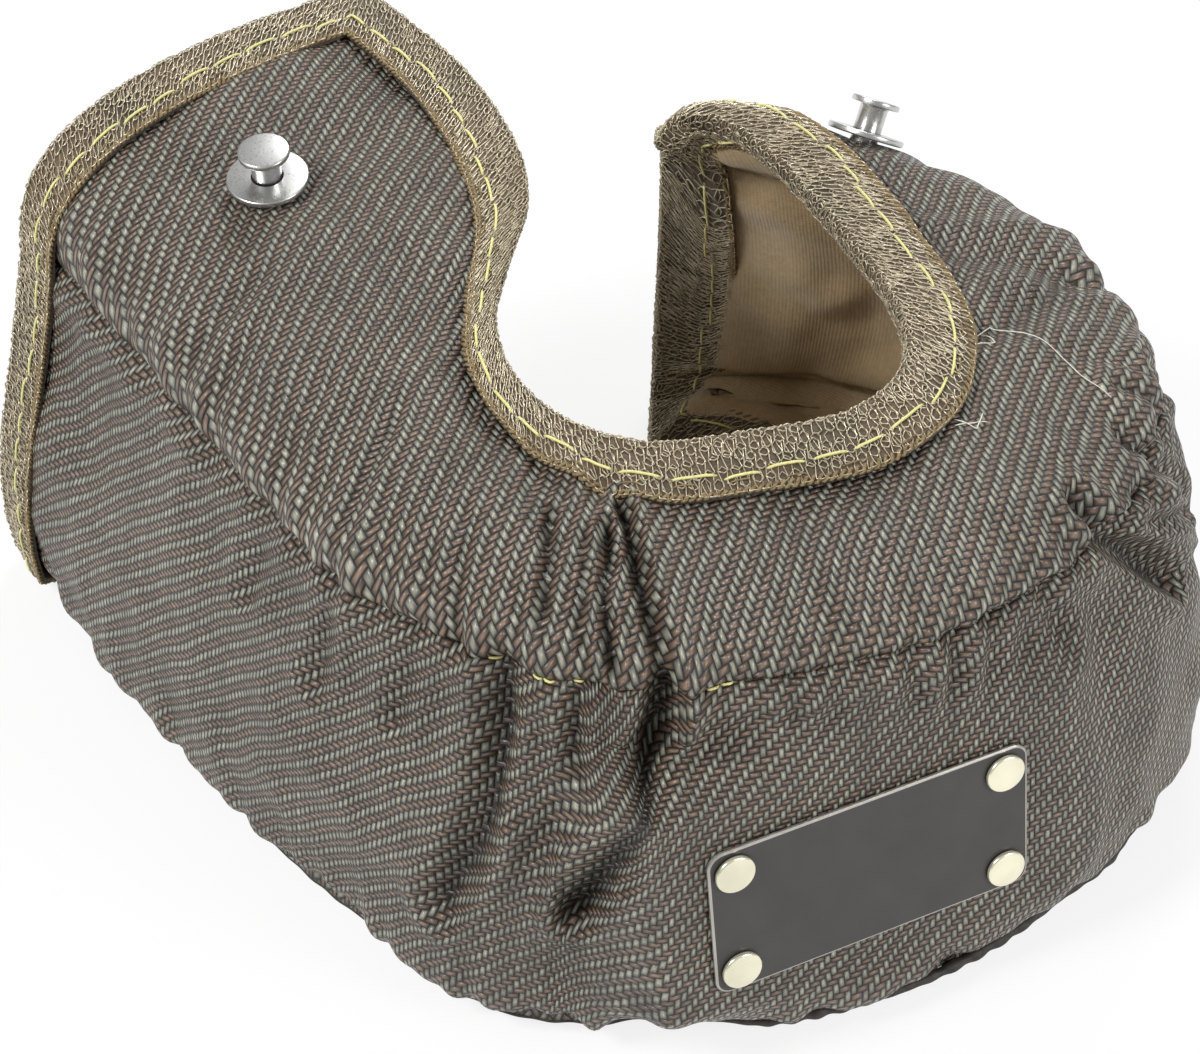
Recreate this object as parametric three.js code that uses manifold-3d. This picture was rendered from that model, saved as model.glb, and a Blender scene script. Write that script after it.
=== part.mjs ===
// Turbo heat blanket: a padded cover that is C-shaped in plan. A top, a side and a bottom panel make a channel
// round a turbine housing, open at the throat and at both ends. Each panel is fabric outside, needled
// insulation in the middle and a satin liner inside. One knitted-wire tape binds the whole edge.
// Millimetres, +Z up. The blanket lies on its bottom panel, with the left arm's mouth at the back left.
import * as THREE from "three";
import { mergeVertices } from "three/addons/utils/BufferGeometryUtils.js";
import Module from "manifold-3d";

// Sections round the blanket, from the left arm's mouth to the end of the right arm. Each gives the throat edge
// on top, the seam between top and side, the seam at the foot and the throat edge below, in plan.
const sections = [
  { edge: [-50, 99], seam: [-115, 44], foot: [-126, 36], under: [-53, 95] },
  { edge: [-31, 75], seam: [-98, 18], foot: [-109, 8], under: [-35, 71] },
  { edge: [-19, 51], seam: [-83, -6], foot: [-93, -15], under: [-23, 49] },
  { edge: [-15, 31], seam: [-68, -28], foot: [-77, -35], under: [-19, 30] },
  { edge: [-18, 12], seam: [-53, -47], foot: [-62, -54], under: [-21, 11] },
  { edge: [-20, -5], seam: [-38, -61], foot: [-46, -69], under: [-23, -6] },
  { edge: [-16, -20], seam: [-21, -73], foot: [-30, -84], under: [-18, -22] },
  { edge: [-6, -32], seam: [-4, -79], foot: [-12, -92], under: [-7, -34] },
  { edge: [9, -38], seam: [13, -80], foot: [10, -92], under: [9, -40] },
  { edge: [27, -35], seam: [35, -77], foot: [35, -91], under: [27, -36] },
  { edge: [44, -30], seam: [58, -69], foot: [62, -82], under: [45, -32] },
  { edge: [55, -19], seam: [81, -53], foot: [88, -64], under: [56, -20] },
  { edge: [58, -6], seam: [98, -32], foot: [110, -42], under: [59, -7] },
  { edge: [56, 8], seam: [107, -6], foot: [120, -12], under: [57, 8] },
  { edge: [50, 24], seam: [104, 20], foot: [117, 20], under: [51, 25] },
  { edge: [43, 40], seam: [93, 44], foot: [102, 48], under: [44, 41] },
  { edge: [35, 55], seam: [74, 64], foot: [79, 72], under: [36, 55] },
  { edge: [25, 67], seam: [47, 76], foot: [49, 86], under: [24, 63] },
  { edge: [13, 69], seam: [14, 80], foot: [14, 87], under: [12, 65] },
];
// Heights of the throat edge and the top seam at the mouth, the front and the right arm's end
const edgeHeights = { mouth: 104, front: 102, end: 95 };
const seamHeights = { mouth: 84, front: 86, end: 78 };
const footHeight = 5;
const footTurn = 10; // width of the rounded foot under the bottom panel
const edgeTurn = 10; // width in which the bottom panel rises to its hem
const underEdgeHeight = 1.8;
const topCrown = { mouth: 5, front: -1, end: 3 };
const crownedReach = 40; // a top panel narrower than this has less of the crown
const crownPlace = 0.36; // share of the way from the edge to the seam
const shoulderFullness = { mouth: 1.25, front: 0.8, end: 0.75 };
const shoulderInset = { mouth: 2, front: 10, end: 7 };
const sideBelly = { mouth: 4, front: 5, end: 8 };

// Layers, from the outside in
const fabricThickness = 1.0;
const insulationThickness = 6.0;
const linerThickness = 0.8;
const layerGap = 0.3;
const seamGap = 0.3;
const seamSqueeze = 0.45; // share of the insulation's thickness left where a seam pulls it tight
const hemSqueeze = [0, 0.16, 0.55]; // the same at the edge, half a hem in and a whole hem in
const hemThickness = 0.4; // insulation's room at the very edge, where it stops short
const hemWidth = 12.7;
const tapeThickness = 1.3;
const foldReach = 1.9;
const foldShoulder = 0.75; // share of that reach at the fold's two corners
const foldEase = 0.5; // how far those corners lie inside the cloth's faces
const foldShift = 0.15; // and the share of the layers' half depth that they move by

// Gathers and creases of the outer fabric: a line from one section to another, at heights 0 to 3 from the
// throat edge (0) over the top seam (1) and the foot (2) to the lower throat edge (3)
const creases = [
  { from: [7.45, 0.25], to: [7.85, 1.0], width: 4.0, depth: 2.6, swell: 1.6 },
  { from: [7.85, 1.0], to: [7.15, 1.75], width: 4.0, depth: 4.0, swell: 2.6 },
  { from: [6.3, 1.05], to: [5.9, 1.75], width: 4.5, depth: 2.4, swell: 1.8 },
  { from: [6.5, 0.2], to: [6.75, 0.75], width: 5.0, depth: 1.2, swell: 0.8 },
  { from: [11.55, 1.0], to: [12.5, 1.35], width: 4.0, depth: 3.2, swell: 2.4 },
  { from: [12.45, 0.75], to: [12.9, 1.3], width: 4.0, depth: 3.0, swell: 2.4 },
  { from: [14.1, 0.35], to: [14.3, 1.2], width: 5.0, depth: 3.2, swell: 2.2 },
  { from: [7.9, 1.7], to: [7.9, 2.15], width: 5.0, depth: 3.6, swell: 2.4 },
  { from: [10.9, 1.75], to: [11.1, 2.1], width: 4.5, depth: 2.4, swell: 1.6 },
  { from: [13.2, 1.5], to: [13.4, 2.05], width: 5.0, depth: 2.6, swell: 1.8 },
  { from: [15.7, 1.0], to: [15.9, 1.8], width: 6.0, depth: 2.4, swell: 1.6 },
];
const sectionPitch = 23; // mean distance between two sections along the side
const swellReach = 2.1; // where a crease's swell lies, in widths
const footPucker = 0.4; // share of the bottom panel that a crease reaches into
const footHold = 0.85; // share of a crease that the floor presses out at the foot
const holdFrom = 1.3; // height on the side where that pressing begins
const holdOver = 0.4;
const creaseFade = 0.22; // how softly a crease ends, as a share of its own run

// Lacing anchors: a washer, a post and a flat head on top, and a washer inside, which the curved liner keeps
// off by its sag
const anchors = [
  { name: "left", section: 1.4, across: 0.465, sag: 0.6 },
  { name: "right", section: 16.3, across: 0.57, sag: 2.7 },
];
const washerRadius = 8;
const washerThickness = 1.2;
const postRadius = 2.9;
const postHeight = 5.4;
const headRadius = 5;
const headThickness = 1.2;
const backWasherRadius = 7;
const backWasherThickness = 1.0;
const shankClearance = 0.3;
const washerChamfer = 0.36;
const headChamfer = 0.3;
const headChamferHeight = 0.2;
const riveted = { reach: 1, thickness: 0.8 }; // the post's end, spread under the back washer

// Plate on the front of the side panel, held by four flat-capped rivets
const plateCentre = [49, -82.5, 40.5];
const plateTurn = 25; // degrees round Z, from the X axis
const plateLean = 11; // degrees back from upright
const plateLength = 65;
const plateHeight = 33;
const plateThickness = 0.8;
const plateCornerRadius = 3.2;
const rivetInset = 5;
const rivetCapRadius = 3.9;
const rivetCapThickness = 0.9;
const rivetShankRadius = 1.4;
const rivetTailRadius = 2.6;
const rivetTailThickness = 0.8;
const rivetChamfer = 0.5;
const rivetChamferHeight = 0.27;
const drillDepth = 4;
const drillStart = 1;
const plateFlatBorder = 8; // the flat reaches this far past the plate
const plateFlatFade = 14;
const flatReach = 14; // only cloth this near to the plate is flattened
const footBlend = 14; // height over the foot in which the flat dies away

// Facets
const columns = 39;
const topRows = 6;
const sideRows = 5;
const bottomRows = 5;
const roundSides = 12;

// Curves through the sections
const lastSection = sections.length - 1;
const frontSection = 9;
const catmullRom = (a, b, c, d, t) =>
  0.5 * (2 * b + (c - a) * t + (2 * a - 5 * b + 4 * c - d) * t * t + (3 * b - a - 3 * c + d) * t * t * t);
function sectionPoint(key, u) {
  const i = Math.min(Math.floor(u), lastSection - 1);
  const at = (k) => {
    const beyond = (end, before) => sections[end][key].map((v, j) => 2 * v - sections[before][key][j]);
    if (k < 0) return beyond(0, 1);
    if (k > lastSection) return beyond(lastSection, lastSection - 1);
    return sections[k][key];
  };
  const [a, b, c, d] = [at(i - 1), at(i), at(i + 1), at(i + 2)];
  return [0, 1].map((j) => catmullRom(a[j], b[j], c[j], d[j], u - i));
}
const smooth = (x) => {
  const t = Math.min(Math.max(x, 0), 1);
  return t * t * (3 - 2 * t);
};
function along(sizes, u) {
  if (u < frontSection) return sizes.mouth + (sizes.front - sizes.mouth) * smooth(u / frontSection);
  return sizes.front + (sizes.end - sizes.front) * smooth((u - frontSection) / (lastSection - frontSection));
}
const pitchOf = (i) =>
  Math.hypot(sections[i].seam[0] - sections[i - 1].seam[0], sections[i].seam[1] - sections[i - 1].seam[1]);
const mouthPitch = pitchOf(1);
const endPitch = pitchOf(lastSection);
const bezier = (p, q, r, s, t) =>
  p.map((_, j) =>
    p[j] * (1 - t) ** 3 + 3 * q[j] * t * (1 - t) ** 2 + 3 * r[j] * t * t * (1 - t) + s[j] * t ** 3);
const toward = (a, b, share) => a.map((v, j) => v + (b[j] - v) * share);
function stepOut(from, to, distance) {
  const length = Math.hypot(to[0] - from[0], to[1] - from[1]);
  return [to[0] + ((to[0] - from[0]) / length) * distance, to[1] + ((to[1] - from[1]) / length) * distance];
}

// The plain outer surface, before the plate's flat and the creases: u runs round the blanket in sections, v
// from the top throat edge (0) over the top seam (1) and the foot (2) to the lower throat edge (3).
function bodySurface(u, v) {
  const [edge, seam, foot, under] = ["edge", "seam", "foot", "under"].map((key) => sectionPoint(key, u));
  const edgeZ = along(edgeHeights, u);
  const seamZ = along(seamHeights, u);
  const reach = Math.hypot(seam[0] - edge[0], seam[1] - edge[1]);
  if (v <= 1) {
    const crown = along(topCrown, u) * Math.min(1, reach / crownedReach);
    const inset = Math.min(along(shoulderInset, u), reach / 3);
    const shoulder = seamZ + (edgeZ - seamZ + crown) * along(shoulderFullness, u);
    const first = toward(edge, seam, crownPlace);
    const second = stepOut(edge, seam, -inset);
    return bezier([...edge, edgeZ], [...first, edgeZ + crown], [...second, shoulder], [...seam, seamZ], v);
  }
  const belly = along(sideBelly, u);
  const rise = (seamZ - footHeight) / 3;
  if (v <= 2) {
    const high = stepOut(edge, seam, belly);
    const low = stepOut(under, foot, belly);
    const highHandle = [...high, seamZ - rise];
    const lowHandle = [...low, footHeight + rise];
    return bezier([...seam, seamZ], highHandle, lowHandle, [...foot, footHeight], v - 1);
  }
  const span = Math.hypot(foot[0] - under[0], foot[1] - under[1]);
  const t = v - 2;
  const fromFoot = t * span;
  const fromEdge = (1 - t) * span;
  const turnIn = Math.min(footTurn, span / 3);
  const hem = Math.min(hemWidth, span / 2);
  const ends = Math.min(u * mouthPitch, (lastSection - u) * endPitch);
  const nearEdge = 1 - smooth((fromEdge - hem) / Math.min(edgeTurn, span / 4));
  const nearEnd = 1 - smooth((ends - hemWidth) / edgeTurn);
  const hemLift = underEdgeHeight * Math.max(nearEdge, nearEnd);
  const lift = hemLift + (footHeight - hemLift) * (1 - smooth(fromFoot / turnIn));
  return [...toward(foot, under, t), lift];
}

// Plate's own directions: along its length, up its face and out of it
const turn = THREE.MathUtils.degToRad(plateTurn);
const lean = THREE.MathUtils.degToRad(plateLean);
const plateAlong = new THREE.Vector3(Math.cos(turn), Math.sin(turn), 0);
const plateOut = new THREE.Vector3(
  Math.sin(turn) * Math.cos(lean), -Math.cos(turn) * Math.cos(lean), Math.sin(lean));
const plateUp = new THREE.Vector3().crossVectors(plateOut, plateAlong);
const plateOrigin = new THREE.Vector3(...plateCentre);

// The side panel lies flat behind the plate
function flattened(point, v) {
  const offset = point.clone().sub(plateOrigin);
  const height = offset.dot(plateOut);
  const beyondLength = Math.max(Math.abs(offset.dot(plateAlong)) - plateLength / 2 - plateFlatBorder, 0);
  const beyondHeight = Math.max(Math.abs(offset.dot(plateUp)) - plateHeight / 2 - plateFlatBorder, 0);
  const near = 1 - smooth(Math.hypot(beyondLength, beyondHeight) / plateFlatFade);
  const onSide = v <= 1 || v > 2 ? 0 : smooth((point.z - footHeight) / footBlend);
  const facing = onSide * (1 - smooth((Math.abs(height) - flatReach) / flatReach));
  return { point: point.clone().addScaledVector(plateOut, -height * near * facing), near: near * facing };
}

function creaseDepth(u, v) {
  let sum = 0;
  for (const { from, to, width, depth, swell } of creases) {
    const t = (v - from[1]) / (to[1] - from[1]);
    const fade = smooth((t + creaseFade) / creaseFade) * smooth((1 + creaseFade - t) / creaseFade);
    const off = ((u - (from[0] + (to[0] - from[0]) * t)) * sectionPitch) / width;
    const sides = Math.exp(-((Math.abs(off) - swellReach) ** 2));
    sum += fade * (swell * sides - depth * Math.exp(-off * off));
  }
  return sum;
}

// The floor presses most of a crease out at the foot, and nothing may swell under the bottom panel
function foldHeight(u, v) {
  const held = 1 - footHold * smooth((v - holdFrom) / holdOver);
  if (v <= 2) return creaseDepth(u, v) * held;
  return Math.min(creaseDepth(u, v), 0) * held * (1 - smooth((v - 2) / footPucker));
}

// The surface a step along u or v away, kept on the same panel
const STEP = 0.01;
const sharpestMitre = 0.7;
function plain(u, v) {
  return flattened(new THREE.Vector3(...bodySurface(u, v)), v);
}
function panelNormal(u, v, low, high) {
  const u0 = Math.max(u - STEP, 0);
  const u1 = Math.min(u + STEP, lastSection);
  const v0 = Math.max(v - STEP, low);
  const v1 = Math.min(v + STEP, high);
  const alongU = plain(u1, v).point.sub(plain(u0, v).point);
  const alongV = plain(u, v1).point.sub(plain(u, v0).point);
  return alongV.cross(alongU).normalize();
}
// Unit normal, or at a seam the mitre of both panels' normals, longer so that the layers keep their thickness
function offsetDirection(u, v) {
  if (v === 1 || v === 2) {
    const before = panelNormal(u, v, v - 1, v);
    const after = panelNormal(u, v, v, v + 1);
    const mitre = before.clone().add(after).normalize();
    return mitre.divideScalar(Math.max(mitre.dot(before), sharpestMitre));
  }
  return panelNormal(u, v, Math.floor(v), Math.floor(v) + 1);
}

// Grid lines: two lines of each border lie half a hem and a whole hem from the edge
function columnStations() {
  const first = hemWidth / mouthPitch;
  const last = lastSection - hemWidth / endPitch;
  const inner = columns - 4;
  const list = [0, first / 2];
  for (let i = 0; i <= inner; i++) list.push(first + ((last - first) * i) / inner);
  list.push((last + lastSection) / 2, lastSection);
  return list;
}
const stations = columnStations();
const crownStretch = 1.12; // the top panel's cloth is longer than its plan, by about this
const widestHem = 0.6; // share of a narrow panel that its hem may take
function topRowShares(u) {
  const [edge, seam] = ["edge", "seam"].map((key) => sectionPoint(key, u));
  const length = Math.hypot(seam[0] - edge[0], seam[1] - edge[1]) * crownStretch;
  const hem = Math.min(hemWidth / length, widestHem);
  const list = [0, hem / 2];
  for (let i = 0; i <= topRows - 2; i++) list.push(hem + ((1 - hem) * i) / (topRows - 2));
  return list;
}
function bottomRowShares(u) {
  const [foot, under] = ["foot", "under"].map((key) => sectionPoint(key, u));
  const length = Math.hypot(foot[0] - under[0], foot[1] - under[1]);
  const hem = Math.min(hemWidth / length, 0.5);
  const turnIn = Math.min(footTurn, length / 3) / length;
  const flatEnd = 1 - hem - Math.min(edgeTurn, length / 4) / length;
  return [turnIn, Math.max(flatEnd, (1 + turnIn - hem) / 2), 1 - hem, 1 - hem / 2, 1];
}
const rowCount = topRows + sideRows + bottomRows;
function rowShare(u, row) {
  if (row <= topRows) return topRowShares(u)[row];
  if (row <= topRows + sideRows) return 1 + (row - topRows) / sideRows;
  return 2 + bottomRowShares(u)[row - topRows - sideRows - 1];
}

// Each grid point: the outer surface, its offset direction and the insulation's thickness there
const grid = stations.map((u, column) =>
  Array.from({ length: rowCount + 1 }, (_, row) => {
    const v = rowShare(u, row);
    const { point, near } = plain(u, v);
    const out = offsetDirection(u, v);
    const border = Math.min(row, rowCount - row, column, columns - column);
    const atSeam = row === topRows || row === topRows + sideRows;
    const share = (hemSqueeze[border] ?? 1) * (atSeam ? seamSqueeze : 1);
    const fold = border === 0 ? 0 : foldHeight(u, v) * (1 - near) * Math.min(border / 2, 1);
    return {
      point: point.addScaledVector(out, fold),
      out,
      fold,
      fill: hemThickness + (insulationThickness - hemThickness) * share,
    };
  }),
);
// Depths of the layers' faces under the outer surface at a grid point
const fabricFace = () => 0;
const fabricBack = () => -fabricThickness;
const fillFace = () => -fabricThickness - layerGap;
const fillBack = (g) => fillFace() - g.fill;
const linerFace = (g) => fillBack(g) - layerGap;
const linerBack = (g) => linerFace(g) - linerThickness;
const shifted = (g, depth) => g.point.clone().addScaledVector(g.out, depth);

// Solids from point lists
function meshOf(name, positions, triangles, material) {
  const geometry = new THREE.BufferGeometry();
  const coordinates = positions.flatMap((p) => [p.x, p.y, p.z]);
  geometry.setAttribute("position", new THREE.Float32BufferAttribute(coordinates, 3));
  geometry.setIndex(triangles);
  const mesh = new THREE.Mesh(geometry, material);
  mesh.name = name;
  return mesh;
}

// One layer of one panel: grid rows and columns from low to high, between two depths
function layerSolid(name, rows, cols, { face, back, material }) {
  const [rowLow, rowHigh] = rows;
  const [colLow, colHigh] = cols;
  const positions = [];
  const index = new Map();
  const inset = (column, row, depth) => {
    const g = grid[column][row];
    const here = shifted(g, depth(g));
    const seamRow = row === topRows || row === topRows + sideRows;
    if (!seamRow) return here;
    const next = row === rowLow ? row + 1 : row - 1;
    const g2 = grid[column][next];
    const pull = shifted(g2, depth(g2)).sub(here);
    return here.addScaledVector(pull.normalize(), seamGap / 2);
  };
  [face, back].forEach((depth, side) => {
    for (let c = colLow; c <= colHigh; c++)
      for (let r = rowLow; r <= rowHigh; r++) {
        index.set(`${side},${c},${r}`, positions.length);
        positions.push(inset(c, r, depth));
      }
  });
  const id = (side, c, r) => index.get(`${side},${c},${r}`);
  const triangles = [];
  const quad = (a, b, c, d) => triangles.push(a, b, c, a, c, d);
  for (let c = colLow; c < colHigh; c++)
    for (let r = rowLow; r < rowHigh; r++) {
      quad(id(0, c, r), id(0, c, r + 1), id(0, c + 1, r + 1), id(0, c + 1, r));
      triangles.push(id(1, c, r), id(1, c + 1, r + 1), id(1, c, r + 1));
      triangles.push(id(1, c, r), id(1, c + 1, r), id(1, c + 1, r + 1));
    }
  for (let c = colLow; c < colHigh; c++) {
    quad(id(0, c, rowLow), id(0, c + 1, rowLow), id(1, c + 1, rowLow), id(1, c, rowLow));
    quad(id(0, c + 1, rowHigh), id(0, c, rowHigh), id(1, c, rowHigh), id(1, c + 1, rowHigh));
  }
  for (let r = rowLow; r < rowHigh; r++) {
    quad(id(0, colLow, r + 1), id(0, colLow, r), id(1, colLow, r), id(1, colLow, r + 1));
    quad(id(0, colHigh, r), id(0, colHigh, r + 1), id(1, colHigh, r + 1), id(1, colHigh, r));
  }
  return meshOf(name, positions, triangles, material);
}

// Outward direction at the edge of the sheet, in the surface
function edgeDirection(column, row) {
  const here = grid[column][row].point;
  const out = new THREE.Vector3();
  if (row === 0) out.add(here.clone().sub(grid[column][1].point).normalize());
  if (row === rowCount) out.add(here.clone().sub(grid[column][rowCount - 1].point).normalize());
  if (column === 0) out.add(here.clone().sub(grid[1][row].point).normalize());
  if (column === columns) out.add(here.clone().sub(grid[columns - 1][row].point).normalize());
  return out.normalize();
}

// Border of the grid as a closed walk, ring lines in from the edge
function ringWalk(ring) {
  const walk = [];
  for (let c = ring; c < columns - ring; c++) walk.push([c, ring]);
  for (let r = ring; r < rowCount - ring; r++) walk.push([columns - ring, r]);
  for (let c = columns - ring; c > ring; c--) walk.push([c, rowCount - ring]);
  for (let r = rowCount - ring; r > ring; r--) walk.push([ring, r]);
  return walk;
}

// The edge tape: a leg on the outer fabric, a fold round the edge and a leg on the liner
function edgeBinding(material) {
  const positions = [];
  const add = (p) => positions.push(p) - 1;
  const sheet = (depth, firstRing) => {
    const index = new Map();
    for (let ring = firstRing; ring <= 2; ring++)
      for (const [c, r] of ringWalk(ring)) index.set(`${c},${r}`, add(shifted(grid[c][r], depth(grid[c][r]))));
    return (c, r) => index.get(`${c},${r}`);
  };
  const outerFace = sheet(() => layerGap + tapeThickness, 0);
  const outerBack = sheet(() => layerGap, 1);
  const innerBack = sheet((g) => linerBack(g) - layerGap, 1);
  const innerFace = sheet((g) => linerBack(g) - layerGap - tapeThickness, 0);
  const walk = ringWalk(0);
  const foldLine = (reach, depth) =>
    walk.map(([c, r]) => {
      const g = grid[c][r];
      return add(shifted(g, depth(g)).addScaledVector(edgeDirection(c, r), reach));
    });
  const middle = (g) => linerBack(g) / 2;
  const lines = [
    walk.map(([c, r]) => outerFace(c, r)),
    foldLine(foldReach * foldShoulder, (g) => middle(g) * foldShift + foldEase),
    foldLine(foldReach, middle),
    foldLine(foldReach * foldShoulder, (g) => linerBack(g) - foldEase - middle(g) * foldShift),
    walk.map(([c, r]) => innerFace(c, r)),
  ];
  const throat = [foldLine(layerGap, () => layerGap), foldLine(layerGap, (g) => linerBack(g) - layerGap)];
  const triangles = [];
  const quad = (a, b, c, d) => triangles.push(a, b, c, a, c, d);
  const ringLoop = (lineA, lineB) =>
    lineA.forEach((_, i) => {
      const j = (i + 1) % lineA.length;
      quad(lineA[i], lineA[j], lineB[j], lineB[i]);
    });
  for (let i = 0; i < lines.length - 1; i++) ringLoop(lines[i], lines[i + 1]);
  ringLoop(throat[1], throat[0]);
  const border = (c, r) => Math.min(c, r, columns - 1 - c, rowCount - 1 - r);
  const throatAt = new Map(walk.map(([c, r], i) => [`${c},${r}`, i]));
  const outerUnder = (c, r) => outerBack(c, r) ?? throat[0][throatAt.get(`${c},${r}`)];
  const innerUnder = (c, r) => innerBack(c, r) ?? throat[1][throatAt.get(`${c},${r}`)];
  const cell = (at, c, r, out) => {
    const [a, b, d, e] = [at(c, r), at(c, r + 1), at(c + 1, r + 1), at(c + 1, r)];
    if (out) triangles.push(a, b, d, a, d, e);
    else triangles.push(a, d, b, a, e, d);
  };
  for (let c = 0; c < columns; c++)
    for (let r = 0; r < rowCount; r++) {
      if (border(c, r) > 1) continue;
      cell(outerFace, c, r, true);
      cell(outerUnder, c, r, false);
      cell(innerUnder, c, r, true);
      cell(innerFace, c, r, false);
    }
  const selvedge = ringWalk(2);
  ringLoop(selvedge.map(([c, r]) => outerBack(c, r)), selvedge.map(([c, r]) => outerFace(c, r)));
  ringLoop(selvedge.map(([c, r]) => innerFace(c, r)), selvedge.map(([c, r]) => innerBack(c, r)));
  return meshOf("edge_binding", positions, triangles, material);
}

// Materials
const finish = (color, roughness, metalness = 0) =>
  new THREE.MeshStandardMaterial({ color, roughness, metalness });
const twill = finish(0x69615a, 0.55);
const felt = finish(0xd8d2c4, 0.95);
const satin = finish(0x8b785a, 0.7);
const tape = finish(0x8c7d64, 0.6, 0.3);
const steel = finish(0xd4d6d8, 0.35, 1);
const dark = finish(0x4a4846, 0.5, 0.1);
const nickel = finish(0xf2f0dc, 0.35, 0.6);

const blanket = new THREE.Group();
blanket.name = "turbo_heat_blanket";

// Panels, layer by layer
const panels = [
  { name: "top", rows: [0, topRows] },
  { name: "side", rows: [topRows, topRows + sideRows] },
  { name: "bottom", rows: [topRows + sideRows, rowCount] },
];
const layers = [
  { name: "outer", face: fabricFace, back: fabricBack, material: twill, hem: 0 },
  { name: "insulation", face: fillFace, back: fillBack, material: felt, hem: 1 },
  { name: "liner", face: linerFace, back: linerBack, material: satin, hem: 0 },
];
const cloth = new Map();
for (const layer of layers)
  for (const panel of panels) {
    const rows = [Math.max(panel.rows[0], layer.hem), Math.min(panel.rows[1], rowCount - layer.hem)];
    const cols = [layer.hem, columns - layer.hem];
    const mesh = layerSolid(`${layer.name}_${panel.name}`, rows, cols, layer);
    cloth.set(mesh.name, mesh);
    blanket.add(mesh);
  }
blanket.add(edgeBinding(tape));

// Booleans for the holes that the fasteners pass through
const wasm = await Module();
wasm.setup();
function solidOf(geometry) {
  const bare = new THREE.BufferGeometry().setAttribute("position", geometry.getAttribute("position"));
  if (geometry.index) bare.setIndex(geometry.index);
  const merged = mergeVertices(bare, 1e-4);
  return new wasm.Manifold(new wasm.Mesh({
    numProp: 3,
    vertProperties: Float32Array.from(merged.attributes.position.array),
    triVerts: Uint32Array.from(merged.index.array),
  }));
}
function geometryOf(solid) {
  const made = solid.getMesh();
  const geometry = new THREE.BufferGeometry();
  geometry.setAttribute("position", new THREE.BufferAttribute(Float32Array.from(made.vertProperties), 3));
  geometry.setIndex(new THREE.BufferAttribute(Uint32Array.from(made.triVerts), 1));
  return geometry;
}
// A turned piece from its half profile, radius then height, standing at a place and pointing along an axis
function turnedGeometry(profile, place, axis) {
  const points = profile.map(([r, h]) => new THREE.Vector2(r, h));
  const geometry = new THREE.LatheGeometry(points, roundSides);
  geometry.deleteAttribute("normal");
  geometry.deleteAttribute("uv");
  const upright = new THREE.Vector3(0, 1, 0);
  geometry.applyQuaternion(new THREE.Quaternion().setFromUnitVectors(upright, axis));
  return geometry.translate(place.x, place.y, place.z);
}
function addTurned(name, profile, place, axis, material) {
  const mesh = new THREE.Mesh(turnedGeometry(profile, place, axis), material);
  mesh.name = name;
  blanket.add(mesh);
}
function cutRound(names, radius, low, high, place, axis) {
  const drill = solidOf(turnedGeometry([[0, low], [radius, low], [radius, high], [0, high]], place, axis));
  for (const name of names) {
    const mesh = cloth.get(name);
    mesh.geometry = geometryOf(solidOf(mesh.geometry).subtract(drill));
  }
}

// Lacing anchors
const stackDepth = fabricThickness + insulationThickness + linerThickness + 2 * layerGap;
for (const { name, section, across, sag } of anchors) {
  const place = plain(section, across).point;
  const axis = offsetDirection(section, across);
  const seat = layerGap;
  const top = seat + washerThickness;
  addTurned(`${name}_anchor_washer`, [
    [postRadius + shankClearance, seat], [washerRadius, seat], [washerRadius, top - washerChamfer],
    [washerRadius - washerChamfer, top], [postRadius + shankClearance, top],
    [postRadius + shankClearance, seat],
  ], place, axis, steel);
  const neck = top + postHeight;
  const back = -stackDepth - layerGap - sag;
  const end = back - backWasherThickness - layerGap;
  addTurned(`${name}_anchor_post`, [
    [0, end - riveted.thickness], [postRadius + riveted.reach, end - riveted.thickness],
    [postRadius + riveted.reach, end], [postRadius, end], [postRadius, neck], [headRadius, neck],
    [headRadius, neck + headThickness - headChamferHeight], [headRadius - headChamfer, neck + headThickness],
    [0, neck + headThickness],
  ], place, axis, steel);
  addTurned(`${name}_anchor_back_washer`, [
    [postRadius + shankClearance, back - backWasherThickness], [backWasherRadius, back - backWasherThickness],
    [backWasherRadius, back], [postRadius + shankClearance, back],
    [postRadius + shankClearance, back - backWasherThickness],
  ], place, axis, steel);
  const bore = postRadius + shankClearance;
  cutRound(["outer_top", "insulation_top", "liner_top"], bore, -2 * stackDepth, stackDepth, place, axis);
}

// Plate and its rivets
const plateSeat = plateOrigin.clone().addScaledVector(plateOut, layerGap);
const plateFrame = new THREE.Matrix4().makeBasis(plateAlong, plateUp, plateOut).setPosition(plateSeat);
const outline = new THREE.Shape();
const halfLength = plateLength / 2;
const halfHeight = plateHeight / 2;
const corners = [[1, -1, 0], [1, 1, 1], [-1, 1, 2], [-1, -1, 3]];
corners.forEach(([sx, sy, quarter]) => {
  const start = -Math.PI / 2 + (quarter * Math.PI) / 2;
  outline.absarc(sx * (halfLength - plateCornerRadius), sy * (halfHeight - plateCornerRadius),
    plateCornerRadius, start, start + Math.PI / 2, false);
});
outline.closePath();
const rivetPlaces = corners.map(([sx, sy]) => [sx * (halfLength - rivetInset), sy * (halfHeight - rivetInset)]);
for (const [x, y] of rivetPlaces) {
  const hole = new THREE.Path();
  hole.absarc(x, y, rivetShankRadius + shankClearance, 0, 2 * Math.PI, true);
  outline.holes.push(hole);
}
const plateBody = new THREE.ExtrudeGeometry(outline, {
  depth: plateThickness, bevelEnabled: false, curveSegments: 5 });
plateBody.applyMatrix4(plateFrame);
const plate = new THREE.Mesh(plateBody, dark);
plate.name = "front_plate";
blanket.add(plate);
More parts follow.
